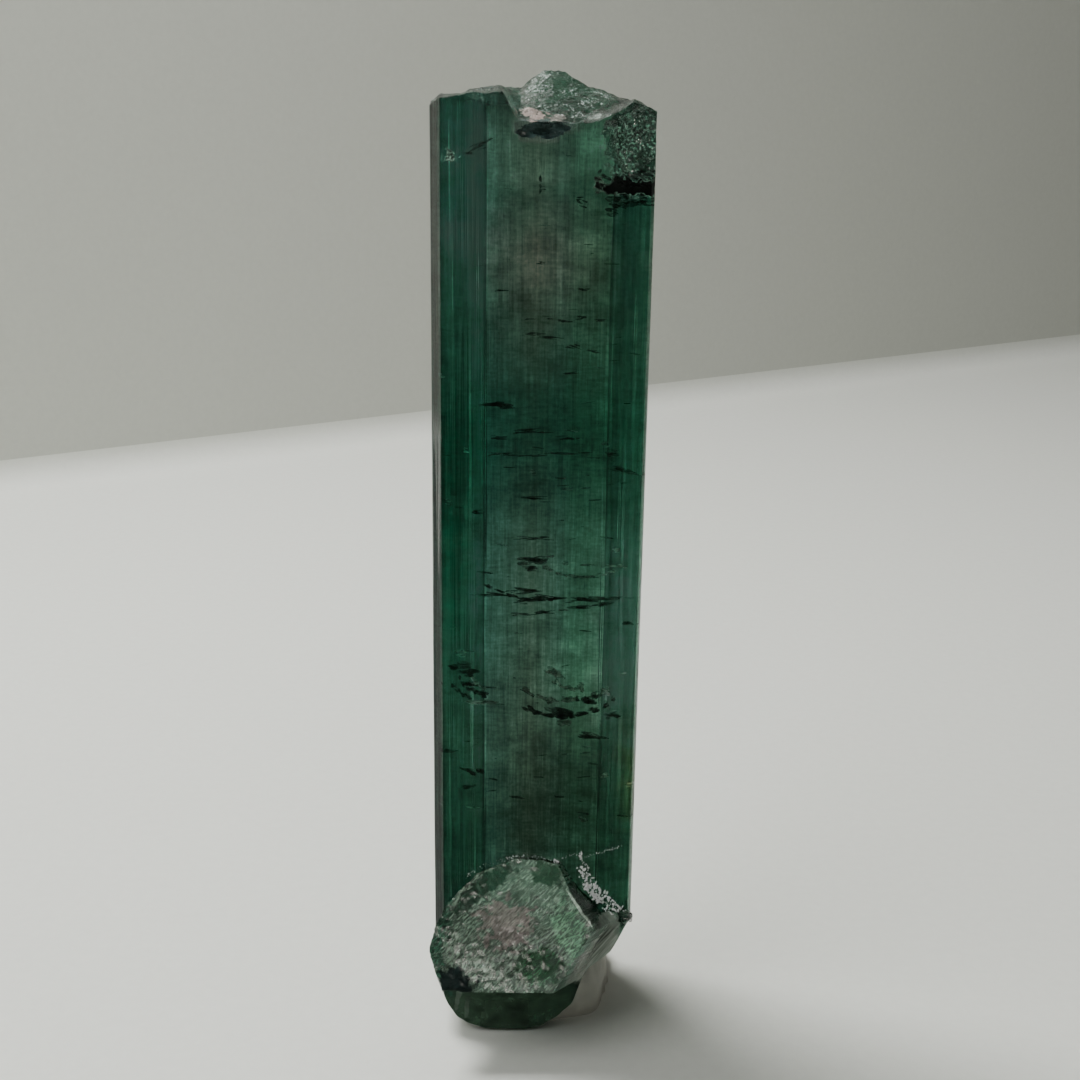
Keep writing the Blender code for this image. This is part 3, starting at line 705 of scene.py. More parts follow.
def side_crystal():
    run = SIDE_RUN.normalized()
    shape = bmesh.new()
    outline = grooved([Vector(corner) * MM for corner in SIDE_OUTLINE], SIDE_RIB_PITCH, SIDE_RIB_DEPTH)
    end = shape.faces.new([shape.verts.new(on_broken_face(*corner) - run * SIDE_SPARE) for corner in outline])
    drawn = bmesh.ops.extrude_face_region(shape, geom=[end])
    far = [v for v in drawn["geom"] if isinstance(v, bmesh.types.BMVert)]
    bmesh.ops.translate(shape, verts=far, vec=run * (SIDE_LENGTH + 2 * SIDE_SPARE))
    bmesh.ops.recalc_face_normals(shape, faces=shape.faces)
    body = new_object("side crystal", mark_faces(mesh_of("side crystal", shape), GROWTH_FACE))

    out = Vector((0.0, -1.0, SIDE_LEAN)).normalized()
    up = Vector((0.0, SIDE_LEAN, 1.0)).normalized()
    turn = Matrix((up.cross(out), up, out)).transposed().to_4x4()
    front = Matrix.Translation(on_broken_face(*SIDE_MIDDLE)) @ turn
    back = Matrix.Translation(run * SIDE_LENGTH) @ front

    def front_break(u, v):
        place = Vector((u, v, 0.0))
        bowl = SIDE_BOWL * max(0.0, 1.0 - (u / SIDE_BOWL_RADII[0]) ** 2 - (v / SIDE_BOWL_RADII[1]) ** 2)
        return swell(place, 12.5) + hackle(place, 4.4, SIDE_HACKLE) - bowl + sugar_grain(u, v)

    def back_break(u, v):
        return 2 * swell(Vector((u, v, 0.0)), 17.5)

    for name, frame_of, step, surface, far, origin in (
            ("side front", front, SIDE_STEP, front_break, SIDE_BLOCK_FAR, SIDE_BREAK),
            ("side back", back, 4 * SIDE_STEP, back_break, -SIDE_BLOCK_FAR, CHIP_BREAK)):
        combine(body, relief_block(name, frame_of, SIDE_BLOCK, step, surface, far, origin))
    return body


def finish_solid(made, material):
    """Puts a solid in its material, smooth but for its sharp edges."""
    made.data.materials.clear()
    made.data.materials.append(material)
    made.data.shade_smooth()
    made.data.set_sharp_from_angle(angle=SMOOTH_UNDER)


def dress(made, piece_slot, *nodes):
    """Moves a finished piece into the frame and hands it to the root body, the only one there is."""
    made.data.transform(Matrix.Translation(-CENTRE))
    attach(made, "root")
    if nodes:
        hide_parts(*nodes)


def read(items, name, kind=np.int32):
    """One number of each item of a mesh."""
    values = np.zeros(len(items), kind)
    items.foreach_get(name, values)
    return values


def point_shares(mesh, name, *origins):
    """A value at each point from 0 to 1: the share of the faces round it that come from these origins."""
    chosen = np.isin(read(mesh.attributes["origin"].data, "value", np.float32), origins)
    corners = read(mesh.loops, "vertex_index")
    total = np.bincount(corners, np.repeat(chosen, read(mesh.polygons, "loop_total")), len(mesh.vertices))
    count = np.bincount(corners, minlength=len(mesh.vertices))
    mark = mesh.attributes.new(name, "FLOAT", "POINT")
    mark.data.foreach_set("value", (total / np.maximum(count, 1)).astype(np.float32))


combine(crystal, side_crystal(), "UNION")
combine(crystal, rough_ball("knob", KNOB_MIDDLE, KNOB_RADII, 4, 5, FOOT_BREAK), "UNION")
point_shares(crystal.data, "broken", TOP_BREAK, FOOT_BREAK, CHIP_BREAK, SIDE_BREAK)
point_shares(crystal.data, "sugary", SIDE_BREAK)
finish_solid(crystal, tourmaline)
dress(crystal, "tourmaline", "tourmaline_crystal")

# ---- The healed cracks and flaws inside ----
# Flat films of old fluid and tiny growth tubes, which lie nearly level across the crystal. Seen edge on they
# are black lines, and where one faces the light it is a pale spark. They are thin closed flakes inside it,
# whose black and pale are painted: painted shade and painted reflection.

# Each flake: x, depth behind the front face, height, half width, half depth, half thickness, lean in degrees.
DARK_FILMS = (
    (0.26, 1.2, 37.16, 0.2, 0.22, 0.035, 0), (1.03, 1.3, 37.02, 0.27, 0.25, 0.03, -6),
    (1.75, 1.1, 37.2, 0.22, 0.2, 0.03, 3), (2.6, 1.4, 37.11, 0.22, 0.2, 0.03, 0),
    (-0.59, 1.6, 37.07, 0.2, 0.12, 0.02, 0), (-0.13, 0.9, 39.67, 0.24, 0.16, 0.025, 0),
    (-2.04, 1.5, 38.37, 0.36, 0.2, 0.025, 0), (1.9, 1.2, 38.48, 0.29, 0.18, 0.02, 0),
    (-0.31, 1, 36.46, 0.45, 0.2, 0.025, -5), (0.41, 1, 36.25, 0.54, 0.25, 0.03, -6),
    (1.37, 0.9, 35.92, 0.34, 0.22, 0.03, -14), (2.28, 0.9, 35.7, 0.29, 0.2, 0.025, -11),
    (1.25, 1.6, 34.59, 0.34, 0.16, 0.02, 3), (-2.46, 0.8, 33.16, 0.55, 0.55, 0.05, 5),
    (-1.69, 0.8, 33.12, 0.55, 0.55, 0.045, -5), (-0.39, 1, 31.93, 0.78, 0.28, 0.03, 1),
    (-2.04, 1.4, 31.55, 0.39, 0.25, 0.03, 0), (1.22, 1.5, 31.53, 0.44, 0.25, 0.03, 2),
    (-1.67, 1.9, 30.65, 0.55, 0.16, 0.02, 0), (-0.52, 1.9, 30.62, 0.78, 0.16, 0.02, 1),
    (0.77, 1.9, 30.74, 0.69, 0.16, 0.02, -1), (3.26, 0.5, 31.08, 0.25, 0.38, 0.08, -11),
    (3.8, 0.6, 30.16, 0.79, 0.3, 0.03, -16), (-0.49, 2.4, 28.47, 0.74, 0.18, 0.022, 0),
    (-3.05, 1, 27.96, 0.35, 0.22, 0.03, 0), (-0.28, 2.6, 26.43, 0.7, 0.16, 0.02, 1),
    (-0.41, 1.2, 25.56, 0.61, 0.75, 0.06, -3), (-0.5, 1.2, 25.16, 0.47, 0.4, 0.04, 2),
    (-2.24, 1, 23.87, 0.62, 0.22, 0.03, -6), (-0.91, 0.9, 24.11, 0.81, 0.3, 0.035, 0),
    (-0.58, 1.1, 23.62, 0.71, 0.3, 0.035, 8), (0.66, 1.1, 23.74, 0.81, 0.3, 0.035, -3),
    (1.94, 1.1, 23.66, 0.71, 0.32, 0.035, -2), (3.08, 1.1, 23.73, 0.66, 0.3, 0.03, 5),
    (-0.71, 1.5, 22.79, 0.52, 0.22, 0.025, 0), (0.14, 1.5, 22.9, 0.52, 0.22, 0.025, 7),
    (1.95, 1.5, 23.18, 0.62, 0.22, 0.025, 5), (2.89, 1.5, 23.35, 0.48, 0.2, 0.025, 7),
    (4.25, 0.5, 22.64, 0.24, 0.3, 0.04, 0), (-3.86, 0.5, 20.16, 0.48, 0.38, 0.12, -5),
    (-3.28, 0.6, 19.89, 0.34, 0.48, 0.08, -11), (-3.28, 0.5, 19.39, 0.39, 0.3, 0.03, -22),
    (-2.8, 0.5, 18.93, 0.34, 0.3, 0.03, -27), (0.99, 1, 17.79, 0.63, 0.7, 0.07, -10),
    (2.39, 0.9, 18.46, 0.44, 0.6, 0.06, -17), (3.62, 0.8, 17.71, 0.39, 0.5, 0.06, -10),
    (2.67, 1, 16.59, 0.63, 0.3, 0.035, -5), (-4.26, 0.5, 15.83, 0.29, 0.3, 0.04, 0),
    (-3.14, 0.7, 14.63, 0.54, 0.35, 0.04, -19), (-3.48, 0.9, 13.72, 0.35, 0.3, 0.03, 6),
    (-0.2, 0.6, 43.1, 0.06, 0.3, 0.16, 10), (-0.1, 0.6, 42.98, 0.12, 0.3, 0.03, 0),
    (1.64, 0.5, 42.32, 0.22, 0.28, 0.06, -17), (1.5, 0.5, 42.6, 0.16, 0.2, 0.04, 5),
    (-2.75, 0.4, 44.78, 0.55, 0.25, 0.06, 22), (-3.3, 0.5, 44.45, 0.4, 0.2, 0.02, 4),
    # From here to the end: black flakes under the corner chip, painted shade where its underside mirrors the
    # dark.
    (3.0, 0.6, 42.12, 0.30, 0.40, 0.11, -12), (3.5, 0.6, 42.3, 0.45, 0.35, 0.05, -14),
    (4.3, 0.6, 42.42, 0.42, 0.35, 0.05, -4), (2.5, 0.6, 43.42, 0.16, 0.40, 0.16, -35),
    (2.85, 0.7, 43.2, 0.35, 0.50, 0.16, -20), (3.3, 0.7, 43.0, 0.45, 0.50, 0.24, -6),
    (3.85, 0.7, 42.95, 0.45, 0.50, 0.28, 0), (4.35, 0.7, 43.05, 0.35, 0.50, 0.26, 8),
    (4.6, 0.6, 43.3, 0.2, 0.40, 0.22, 25), (3.05, 0.7, 43.5, 0.08, 0.35, 0.26, -15),
    (3.9, 0.7, 42.75, 0.8, 0.40, 0.10, -3),
)
PALE_FILMS = (
    (-4.30, 0.22, 44.45, 0.05, 0.10, 0.07, 60), (-4.12, 0.22, 44.25, 0.07, 0.10, 0.04, -30),
    (-4.36, 0.22, 44.2, 0.05, 0.10, 0.03, 0), (-4.18, 0.22, 44.6, 0.03, 0.08, 0.06, 20),
    (-4.02, 0.22, 44.42, 0.04, 0.08, 0.03, 0), (-3.75, 0.22, 44.3, 0.05, 0.08, 0.02, 0),
    (0.43, 0.5, 25.95, 0.21, 0.3, 0.035, 6), (0.3, 0.5, 25.35, 0.14, 0.3, 0.03, 0),
    (1.24, 0.5, 25.61, 0.16, 0.3, 0.03, 0), (2.37, 0.5, 25.48, 0.38, 0.2, 0.02, -2),
    (3.55, 0.5, 25.5, 0.47, 0.2, 0.02, 1), (-0.41, 0.4, 30.05, 0.14, 0.25, 0.05, 0),
    (1.17, 0.5, 29.23, 0.28, 0.18, 0.025, 0), (2.01, 0.5, 29.29, 0.23, 0.18, 0.025, 0),
    (3.63, 0.4, 26.31, 0.19, 0.25, 0.04, 0), (-3.47, 0.3, 31.07, 0.12, 0.18, 0.05, 0),
    (-4.31, 0.3, 28.61, 0.14, 0.18, 0.05, 0), (-4.56, 0.2, 34.54, 0.11, 0.08, 0.04, 0),
    (2.98, 0.35, 31.39, 0.14, 0.23, 0.05, 0), (1.19, 0.9, 23.18, 0.21, 0.2, 0.025, 0),
    (-3.81, 0.5, 20.99, 0.26, 0.38, 0.07, 0), (-2.8, 0.5, 18.45, 0.82, 0.25, 0.03, -2),
    (0.72, 0.8, 19.97, 0.58, 0.55, 0.05, -27), (0.55, 0.5, 18.51, 0.19, 0.35, 0.07, 0),
    (2.03, 0.8, 19.2, 0.22, 0.5, 0.06, -31), (3.29, 0.5, 19.07, 0.17, 0.38, 0.06, 0),
    (1.29, 0.7, 17.32, 0.29, 0.4, 0.05, -11), (2.28, 0.5, 12.13, 0.32, 0.3, 0.03, -27),
    (3.36, 0.5, 14.6, 0.17, 0.3, 0.04, 0), (4.51, 0.3, 14.17, 0.17, 0.18, 0.04, 0),
)
# Curved cracks, as a row of flakes along an arc: centre x, depth, centre height, radius, from and to in
# degrees anticlockwise from +X, flakes, half depth, half thickness.
DARK_ARCS = (
    (1.2, 0.9, 21.2, 3.6, 238, 318, 9, 0.40, 0.035), (1.9, 1.0, 20.4, 1.9, 250, 320, 5, 0.45, 0.045),
    (-2.2, 0.7, 20.6, 1.9, 205, 262, 5, 0.35, 0.03), (-2.0, 0.8, 20.9, 2.7, 215, 255, 5, 0.3, 0.025),
    (0.3, 1.6, 29.5, 6.0, 240, 275, 6, 0.3, 0.02),
)
PALE_ARCS = (
    (1.1, 0.7, 21.6, 3.1, 232, 285, 7, 0.30, 0.035), (2.0, 0.6, 21.0, 1.9, 225, 280, 5, 0.35, 0.04),
    (-2.1, 0.5, 20.2, 1.2, 200, 250, 4, 0.3, 0.03), (2.0, 0.5, 28.0, 3.1, 238, 300, 8, 0.2, 0.018),
)
FILM_RAGGED = Vector((1.0, 0.7, 0.35)) * 0.22 * MM
FILM_STRANDS = 6
FILM_LEAST_DEPTH = 0.12
FILM_THREADS = ((1 / 2.6, 1 / 2.6, 1 / 11), 3.0)


def joined(name, parts):
    """One object from several of the same material."""
    shape = bmesh.new()
    for part in parts:
        shape.from_mesh(part.data)
    mesh = mesh_of(name, shape)
    mesh.materials.append(parts[0].data.materials[0])
    for part in parts:
        bpy.data.objects.remove(part)
    return new_object(name, mesh)


def arc_films(arcs):
    """The flakes of the curved cracks, in the same form as the single ones."""
    films = []
    for x, y, z, radius, start, stop, count, deep, thick in arcs:
        step = (stop - start) / count
        for k in range(count):
            angle = start + (k + 0.5) * step
            way = math.radians(angle)
            half = 0.6 * radius * math.radians(step) * (0.75 + 0.5 * noise.cell(Vector((x, z, 3.1 * k))))
            films.append((x + radius * math.cos(way), y, z + radius * math.sin(way), half, deep, thick,
                          angle - 270))
    return tuple(films)


def frayed(films):
    """Each flake as a few thinner ones, strewn and turned a little, as such films split."""
    dice = np.random.default_rng(6)
    strands = []
    for x, y, z, wide, deep, thick, lean in films:
        for shift, lift, sink, length, body, turn in dice.uniform(-1.0, 1.0, (FILM_STRANDS, 6)):
            thin = deep * (0.8 + 0.2 * body)
            strands.append((x + 0.7 * shift * wide, max(y + 0.12 * sink, thin + FILM_LEAST_DEPTH),
                            z + 2.4 * lift * thick, wide * (0.62 + 0.3 * length), thin,
                            thick * (0.6 + 0.25 * body), lean + 9.0 * turn))
    return tuple(strands)


def film_mesh(name, films):
    """A point for each flake, with its size and its turn."""
    mesh = plain_mesh(name, [tuple(part * MM for part in film[:3]) for film in films])
    sizes = mesh.attributes.new("film size", "FLOAT_VECTOR", "POINT")
    turns = mesh.attributes.new("film turn", "FLOAT_VECTOR", "POINT")
    for k, (x, y, z, wide, deep, thick, lean) in enumerate(films):
        sizes.data[k].vector = Vector((wide, deep, thick)) * MM
        turns.data[k].vector = (math.radians(4 * math.sin(2.3 * k)), -math.radians(lean), 0.0)
    return mesh


def copies(tree, points, shape, turn, size):
    """A copy of a shape on each point, turned and sized."""
    rotation = add(tree, "FunctionNodeEulerToRotation", [turn])
    return add(tree, "GeometryNodeInstanceOnPoints", {
        "Points": points, "Instance": shape, "Rotation": rotation, "Scale": size})


def ragged(tree, given, geometry, detail, dimensions="3D"):
    """Real geometry with its points pushed by a noise, up to Ragged each way, in waves of Ragged size."""
    real = add(tree, "GeometryNodeRealizeInstances", [geometry])
    place = add(tree, "GeometryNodeInputPosition")
    scaled = add(tree, "ShaderNodeVectorMath", [place, given["Ragged size"]], operation="DIVIDE")
    seed = {"W": given["Seed"]} if dimensions == "4D" else {}
    waves = add(tree, "ShaderNodeTexNoise", {"Vector": scaled, "Scale": 1.0, "Detail": detail, **seed},
                noise_dimensions=dimensions)
    waves = waves.outputs["Color"]
    centred = add(tree, "ShaderNodeVectorMath", [waves, (0.5, 0.5, 0.5)], operation="SUBTRACT")
    push = add(tree, "ShaderNodeVectorMath", [centred, given["Ragged"]], operation="MULTIPLY")
    return add(tree, "GeometryNodeSetPosition", {"Geometry": real, "Offset": push})


def film_tree():
    """A ragged flat flake at each point, in the point's own size and turn."""
    tree, given = new_tree("films in the crystal", Int=["Detail"], Float=["Ragged size", "Seed"],
                           Vector=["Ragged"])
    flake = add(tree, "GeometryNodeMeshIcoSphere", [1.0, given["Detail"]])
    size = add(tree, "GeometryNodeInputNamedAttribute", ["film size"], data_type="FLOAT_VECTOR")
    turn = add(tree, "GeometryNodeInputNamedAttribute", ["film turn"], data_type="FLOAT_VECTOR")
    placed = copies(tree, given["Geometry"], flake, turn, size)
    return close_tree(tree, given, ragged(tree, given, placed, 3.0, "4D"))


def two_tone(name, size, detail, dark, light, rough):
    """A material mottled between two colours, with its tree, its shader, the place and the mottling."""
    material, tree, shader, place = new_material(name)
    mottling = add(tree, "ShaderNodeTexNoise", [place, 1 / (size * MM), detail])
    tone = add(tree, "ShaderNodeMix", [mottling, linear(dark), linear(light)], data_type="RGBA")
    feed(tree, shader, {"Base Color": tone, "Roughness": rough})
    return material, tree, shader, place, mottling


def film_material(name, size, dark, light, rough, densest):
    """A film that is there in threads, between which the crystal is whole."""
    material, tree, shader, place, _ = two_tone(name, size, 2.0, dark, light, rough)
    threads = stretched_noise(tree, place, *FILM_THREADS)
    feed(tree, shader, {"Alpha": add(tree, "ShaderNodeMapRange", [threads, 0.40, 0.60, 0.04, densest])})
    return material


# Old fluid dried in the crack: dull black-green with a faint gloss. The black is painted shade, the dark
# that such a crack mirrors.
dark_film_of_painted_shade = film_material("healed crack, dark film", 1 / 2.2, "#04120C", "#234437", 0.45, 0.75)
# A crack with air in it turns the light back like a mirror, broken into specks by its wavy walls; the film's
# pale colour is that mirrored light, painted in: a painted reflection.
pale_film_of_painted_light = film_material("open crack, silvery film", 1 / 9, "#B9CFC4", "#FFFFFF", 0.35, 0.90)
films_tree = film_tree()
for piece_name, films, film, seed in (
        ("healed_cracks", frayed(DARK_FILMS + arc_films(DARK_ARCS)), dark_film_of_painted_shade, 3.0),
        ("silvery_cracks", frayed(PALE_FILMS + arc_films(PALE_ARCS)), pale_film_of_painted_light, 8.0)):
    piece = grown(piece_name, film_mesh(piece_name, films), films_tree, {
        "Detail": 3, "Ragged": FILM_RAGGED, "Ragged size": 0.38 * MM, "Seed": seed, "Material": film})
    piece.data.shade_smooth()
    dress(piece, "tourmaline")

# Smaller flaws of the same two kinds are strewn through the crystal in flat swarms.
SWARM_SHEETS = (0.45, 1.3, 2.6)
SWARM_LEFT, SWARM_RIGHT = -4.5 * MM, 4.4 * MM
SWARM_LOW, SWARM_HIGH = 11.5 * MM, 44.5 * MM


def swarm_tree():
    """Small flat flakes strewn over sheets inside the crystal, crowded where a wide noise is high."""
    tree, given = new_tree("swarms of flaws", Int=["Seed"], Float=["Per square metre", "Band"],
                           Vector=["Smallest", "Largest"])
    place = add(tree, "GeometryNodeInputPosition")
    scaled = add(tree, "ShaderNodeVectorMath", [place, given["Band"]], operation="DIVIDE")
    flat = add(tree, "ShaderNodeVectorMath", [scaled, (0.45, 1.0, 1.0)], operation="MULTIPLY")
    crowd = add(tree, "ShaderNodeTexNoise", [flat, 1.0, 1.0])
    strewn = add(tree, "GeometryNodeDistributePointsOnFaces", {
        "Mesh": given["Geometry"], "Seed": given["Seed"],
        "Density": add(tree, "ShaderNodeMapRange", [crowd, 0.46, 0.68, 0.0, given["Per square metre"]])})
    flake = add(tree, "GeometryNodeMeshUVSphere", [7, 4, 1.0])
    size = add(tree, "FunctionNodeRandomValue", {
        "Min": given["Smallest"], "Max": given["Largest"], "Seed": given["Seed"]}, data_type="FLOAT_VECTOR")
    lean = add(tree, "FunctionNodeRandomValue", {
        "Min": (-0.12, -0.2, 0.0), "Max": (0.12, 0.2, 0.3), "Seed": given["Seed"]}, data_type="FLOAT_VECTOR")
    return close_tree(tree, given, copies(tree, strewn, flake, lean, size))


def swarm_sheets(name):
    corners = [(x, deep * MM, z) for deep in SWARM_SHEETS
               for x, z in ((SWARM_LEFT, SWARM_LOW), (SWARM_RIGHT, SWARM_LOW), (SWARM_RIGHT, SWARM_HIGH),
                            (SWARM_LEFT, SWARM_HIGH))]
    return plain_mesh(name, corners, [], [tuple(range(4 * k, 4 * k + 4)) for k in range(len(SWARM_SHEETS))])


swarms_tree = swarm_tree()
for piece_name, per_square_mm, film, seed in (
        ("fine_dark_flaws", 0.42, dark_film_of_painted_shade, 4), ("fine_silvery_flaws", 0.12, pale_film_of_painted_light, 11)):
    piece = grown(piece_name, swarm_sheets(piece_name), swarms_tree, {
        "Per square metre": per_square_mm / (MM * MM), "Smallest": Vector((0.05, 0.04, 0.008)) * MM,
        "Largest": Vector((0.42, 0.2, 0.022)) * MM, "Band": 1.7 * MM, "Seed": seed, "Material": film})
    dress(piece, "tourmaline")

# ---- The crust along the seam ----
# Where the two crystals meet, a thin crust of pale grains has grown or lodged: clay and feldspar, dull and
# cream-white, though painted dark here with the shade of the seam. It fills the seam in a crumbly line, with
# stray threads of grains on the face above it.

# Lines of grains: points as (x, y, height), grains, how far they stray, and the smallest and largest radius.
SEAM = (
    (((-3.5, -0.02, 9.05), (-2.9, -0.04, 9.5), (-1.8, -0.06, 9.97), (-0.9, -0.10, 10.27),
      (0.36, -0.10, 10.17), (0.9, -0.05, 9.9)), 75, 0.10, 0.008, 0.026),
    (((-1.5, -0.08, 10.10), (-0.6, -0.08, 10.28)), 16, 0.09, 0.015, 0.045),
    (((0.9, -0.1, 10.0), (1.25, -0.05, 9.6), (1.7, -0.05, 8.8), (2.1, -0.05, 8.1), (2.6, -0.05, 7.5)),
     150, 0.13, 0.015, 0.07),
    (((2.3, -0.04, 9.5), (2.6, -0.04, 9.0), (2.95, -0.04, 8.4), (3.5, -0.04, 7.8), (4.1, -0.04, 7.1)),
     120, 0.30, 0.02, 0.09),
    (((2.5, -0.04, 8.7), (2.9, -0.04, 8.1), (3.3, -0.04, 7.7)), 50, 0.14, 0.03, 0.12),
    (((2.25, -0.03, 10.5), (2.3, -0.03, 10.0), (2.65, -0.03, 9.6), (2.5, -0.03, 9.2), (2.7, -0.03, 8.8)),
     46, 0.07, 0.012, 0.036),
    (((1.3, -0.03, 10.15), (1.9, -0.05, 10.4), (2.5, -0.05, 10.25), (3.3, -0.04, 10.55), (4.35, -0.04, 10.9)),
     52, 0.07, 0.008, 0.030),
    (((2.2, -0.06, 10.5), (2.25, -0.06, 10.15)), 18, 0.09, 0.02, 0.055),
    (((4.0, -0.1, 7.6), (4.6, 0.1, 7.0), (4.8, 0.4, 6.5)), 60, 0.22, 0.02, 0.09),
)


def grain_tree():
    """Grains of random size strewn along a line, each turned and dented in its own way."""
    tree, given = new_tree("grains along a line", Int=["Grains", "Seed"], Float=[
        "Stray", "Smallest", "Largest", "Ragged size"], Vector=["Ragged"])
    seed = given["Seed"]
    line = add(tree, "GeometryNodeMeshToCurve", [given["Geometry"]])
    spots = add(tree, "GeometryNodeCurveToPoints", [line, given["Grains"]], mode="COUNT")
    way = add(tree, "FunctionNodeRandomValue", {
        "Min": (-1.0, -0.35, -1.0), "Max": (1.0, 0.35, 1.0), "Seed": seed}, data_type="FLOAT_VECTOR")
    away = add(tree, "ShaderNodeVectorMath", [way, given["Stray"]], operation="SCALE")
    strewn = add(tree, "GeometryNodeSetPosition", {"Geometry": spots, "Offset": away})
    size = add(tree, "FunctionNodeRandomValue", {
        2: given["Smallest"], 3: given["Largest"], "Seed": seed}, data_type="FLOAT")
    squash = add(tree, "FunctionNodeRandomValue", {
        "Min": (0.6, 0.3, 0.4), "Max": (2.0, 0.8, 0.9), "Seed": seed}, data_type="FLOAT_VECTOR")
    shape = add(tree, "ShaderNodeVectorMath", [squash, size], operation="SCALE")
    turn = add(tree, "FunctionNodeRandomValue", {
        "Min": (0.0, 0.0, 0.0), "Max": (math.tau,) * 3, "Seed": seed}, data_type="FLOAT_VECTOR")
    grain = add(tree, "GeometryNodeMeshUVSphere", [7, 5, 1.0])
    return close_tree(tree, given, ragged(tree, given, copies(tree, strewn, grain, turn, shape), 1.0))


# Clay and weathered feldspar: dull and chalky, mottled dark grey to black-green. Cream clay painted this dark
# is
# painted shade: the seam it lies in is in shade.
def crust_material():
    material, tree, shader, place = new_material("clay and feldspar crust")
    mottling = add(tree, "ShaderNodeTexNoise", [place, 6.5 / MM, 3.0])
    share = add(tree, "ShaderNodeMapRange", [mottling, 0.35, 0.65, 0.0, 1.0])
    tone = add(tree, "ShaderNodeMix", [share, linear("#161D18"), linear("#3C3C36")], data_type="RGBA")
    feed(tree, shader, {"Base Color": tone, "Roughness": 0.95, "Specular IOR Level": 0.15})
    return material


clay_painted_dark = crust_material()
grains_tree = grain_tree()
crusts = []
for seed, (line, grains, stray, smallest, largest) in enumerate(SEAM):
    mesh = plain_mesh("seam line", [Vector(p) * MM for p in line], [(k, k + 1) for k in range(len(line) - 1)])
    crusts.append(grown(f"seam {seed}", mesh, grains_tree, {
        "Grains": grains, "Stray": stray * MM, "Smallest": smallest * MM, "Largest": largest * MM,
        "Ragged": Vector((0.09, 0.09, 0.09)) * MM, "Ragged size": 0.10 * MM, "Seed": seed, "Material": clay_painted_dark}))
dress(joined("seam_crust", crusts), "tourmaline")

# ---- The tack ----
# A lump of mineral tack, the putty that dealers stand crystals in: synthetic rubber filled with chalk. It was
# kneaded soft, pressed in behind the foot, and keeps the folds and dents of the fingers.

TACK_CENTRE = Vector((0.75, 5.35, 0.4)) * MM
TACK_RADII = Vector((3.2, 4.3, 3.0)) * MM
TACK_SQUARENESS = 2.6
TACK_LUMPS, TACK_LUMP_SIZE = 0.34 * MM, 2.1 * MM
TACK_FOLD, TACK_FOLD_SIZE = 0.10 * MM, 0.9 * MM
TACK_GAP = 0.06 * MM


def foot_below(x, y):
    steps = ((0, 0), (1, 0), (-1, 0), (0, 1), (0, -1))
    return min(foot_at(x + TACK_GAP * i, y + TACK_GAP * j) for i, j in steps) - TACK_GAP


def kneaded(way):
    """The lump's surface in one direction from its middle, as a box with very round corners."""
    round_by = sum(abs(part) ** TACK_SQUARENESS for part in way) ** (1.0 / TACK_SQUARENESS)
    place = TACK_CENTRE + Vector(way[i] * TACK_RADII[i] for i in range(3)) / round_by
    lumps = TACK_LUMPS * noise.noise(place / TACK_LUMP_SIZE + Vector((0.0, 21.0, 0.0)))
    folds = TACK_FOLD * (0.5 - abs(noise.noise(place / TACK_FOLD_SIZE)) * 2.0)
    return place + way * (lumps + folds)


def tack_lump():
    """The lump, cut off level by the table and hollowed by a pocket that leaves a gap round the crystal."""
    lump = new_object("tack_lump", mark_faces(mesh_of("tack lump", ball(6, kneaded)), GROWTH_FACE))
    combine(lump, plan_block("table", 1.0 * MM, lambda x, y: 0.0, -3 * SPARE, GROWTH_FACE))
    ring = section(TACK_GAP)
    count = len(ring)
    corners = [(p.x, p.y, z) for z in (-SPARE, HEIGHT) for p in ring]
    walls = [(k, (k + 1) % count, count + (k + 1) % count, count + k) for k in range(count)]
    caps = [tuple(reversed(range(count))), tuple(range(count, 2 * count))]
    pocket = new_object("pocket", mark_faces(plain_mesh("pocket", corners, [], walls + caps), GROWTH_FACE))
    combine(pocket, plan_block("pocket floor", FOOT_STEP, foot_below, -2 * SPARE, GROWTH_FACE))
    combine(lump, pocket)
    return lump


# Chalk-filled rubber: matt, cream-grey, a little greasy where it was pressed smooth.
def tack_material():
    material, tree, shader, place, mottling = two_tone(
        "mineral tack, kneaded", 1 / 0.7, 4.0, "#A0A297", "#CACABE", 0.6)
    shine = add(tree, "ShaderNodeMapRange", [mottling, 0.0, 1.0, 0.75, 0.5])
    chalk = add(tree, "ShaderNodeTexNoise", [place, 1 / (0.2 * MM), 3.0])
    bump = add(tree, "ShaderNodeBump", {"Strength": 0.25, "Distance": 0.03 * MM, "Height": chalk})
    feed(tree, shader, {"Roughness": shine, "Normal": bump, "IOR": 1.48})
    return material


tack = tack_lump()
finish_solid(tack, tack_material())
dress(tack, "tack", "mineral_tack")

# ---- Table, light and camera ----
# A plain pale table that turns up into a wall behind, soft light from the room and from a wide window.

TABLE_SIZE = 700 * MM
WALL_AWAY, WALL_TURN, WALL_HEIGHT = 139.4 * MM, math.radians(31.3), 400 * MM
COVE, COVE_STEPS = 3.0 * MM, 6
# A flag on the table in front, seen only in reflections, as the dark of the room is: without it the front
# face mirrors the bright table and looks milky.
FLAG = ((-210, -500, 0.05), (210, -500, 0.05), (6, -3.6, 0.05), (-6, -3.6, 0.05))
# A grey card lies at the left, where the bevel's mirror image of the table falls. Seen only in reflections,
# it is painted shade, darkening the table that the bevel mirrors.
CARD = ((-12, -6, 0.05), (-114, 36, 0.05), (-114, 66, 0.05), (-12, 22, 0.05))
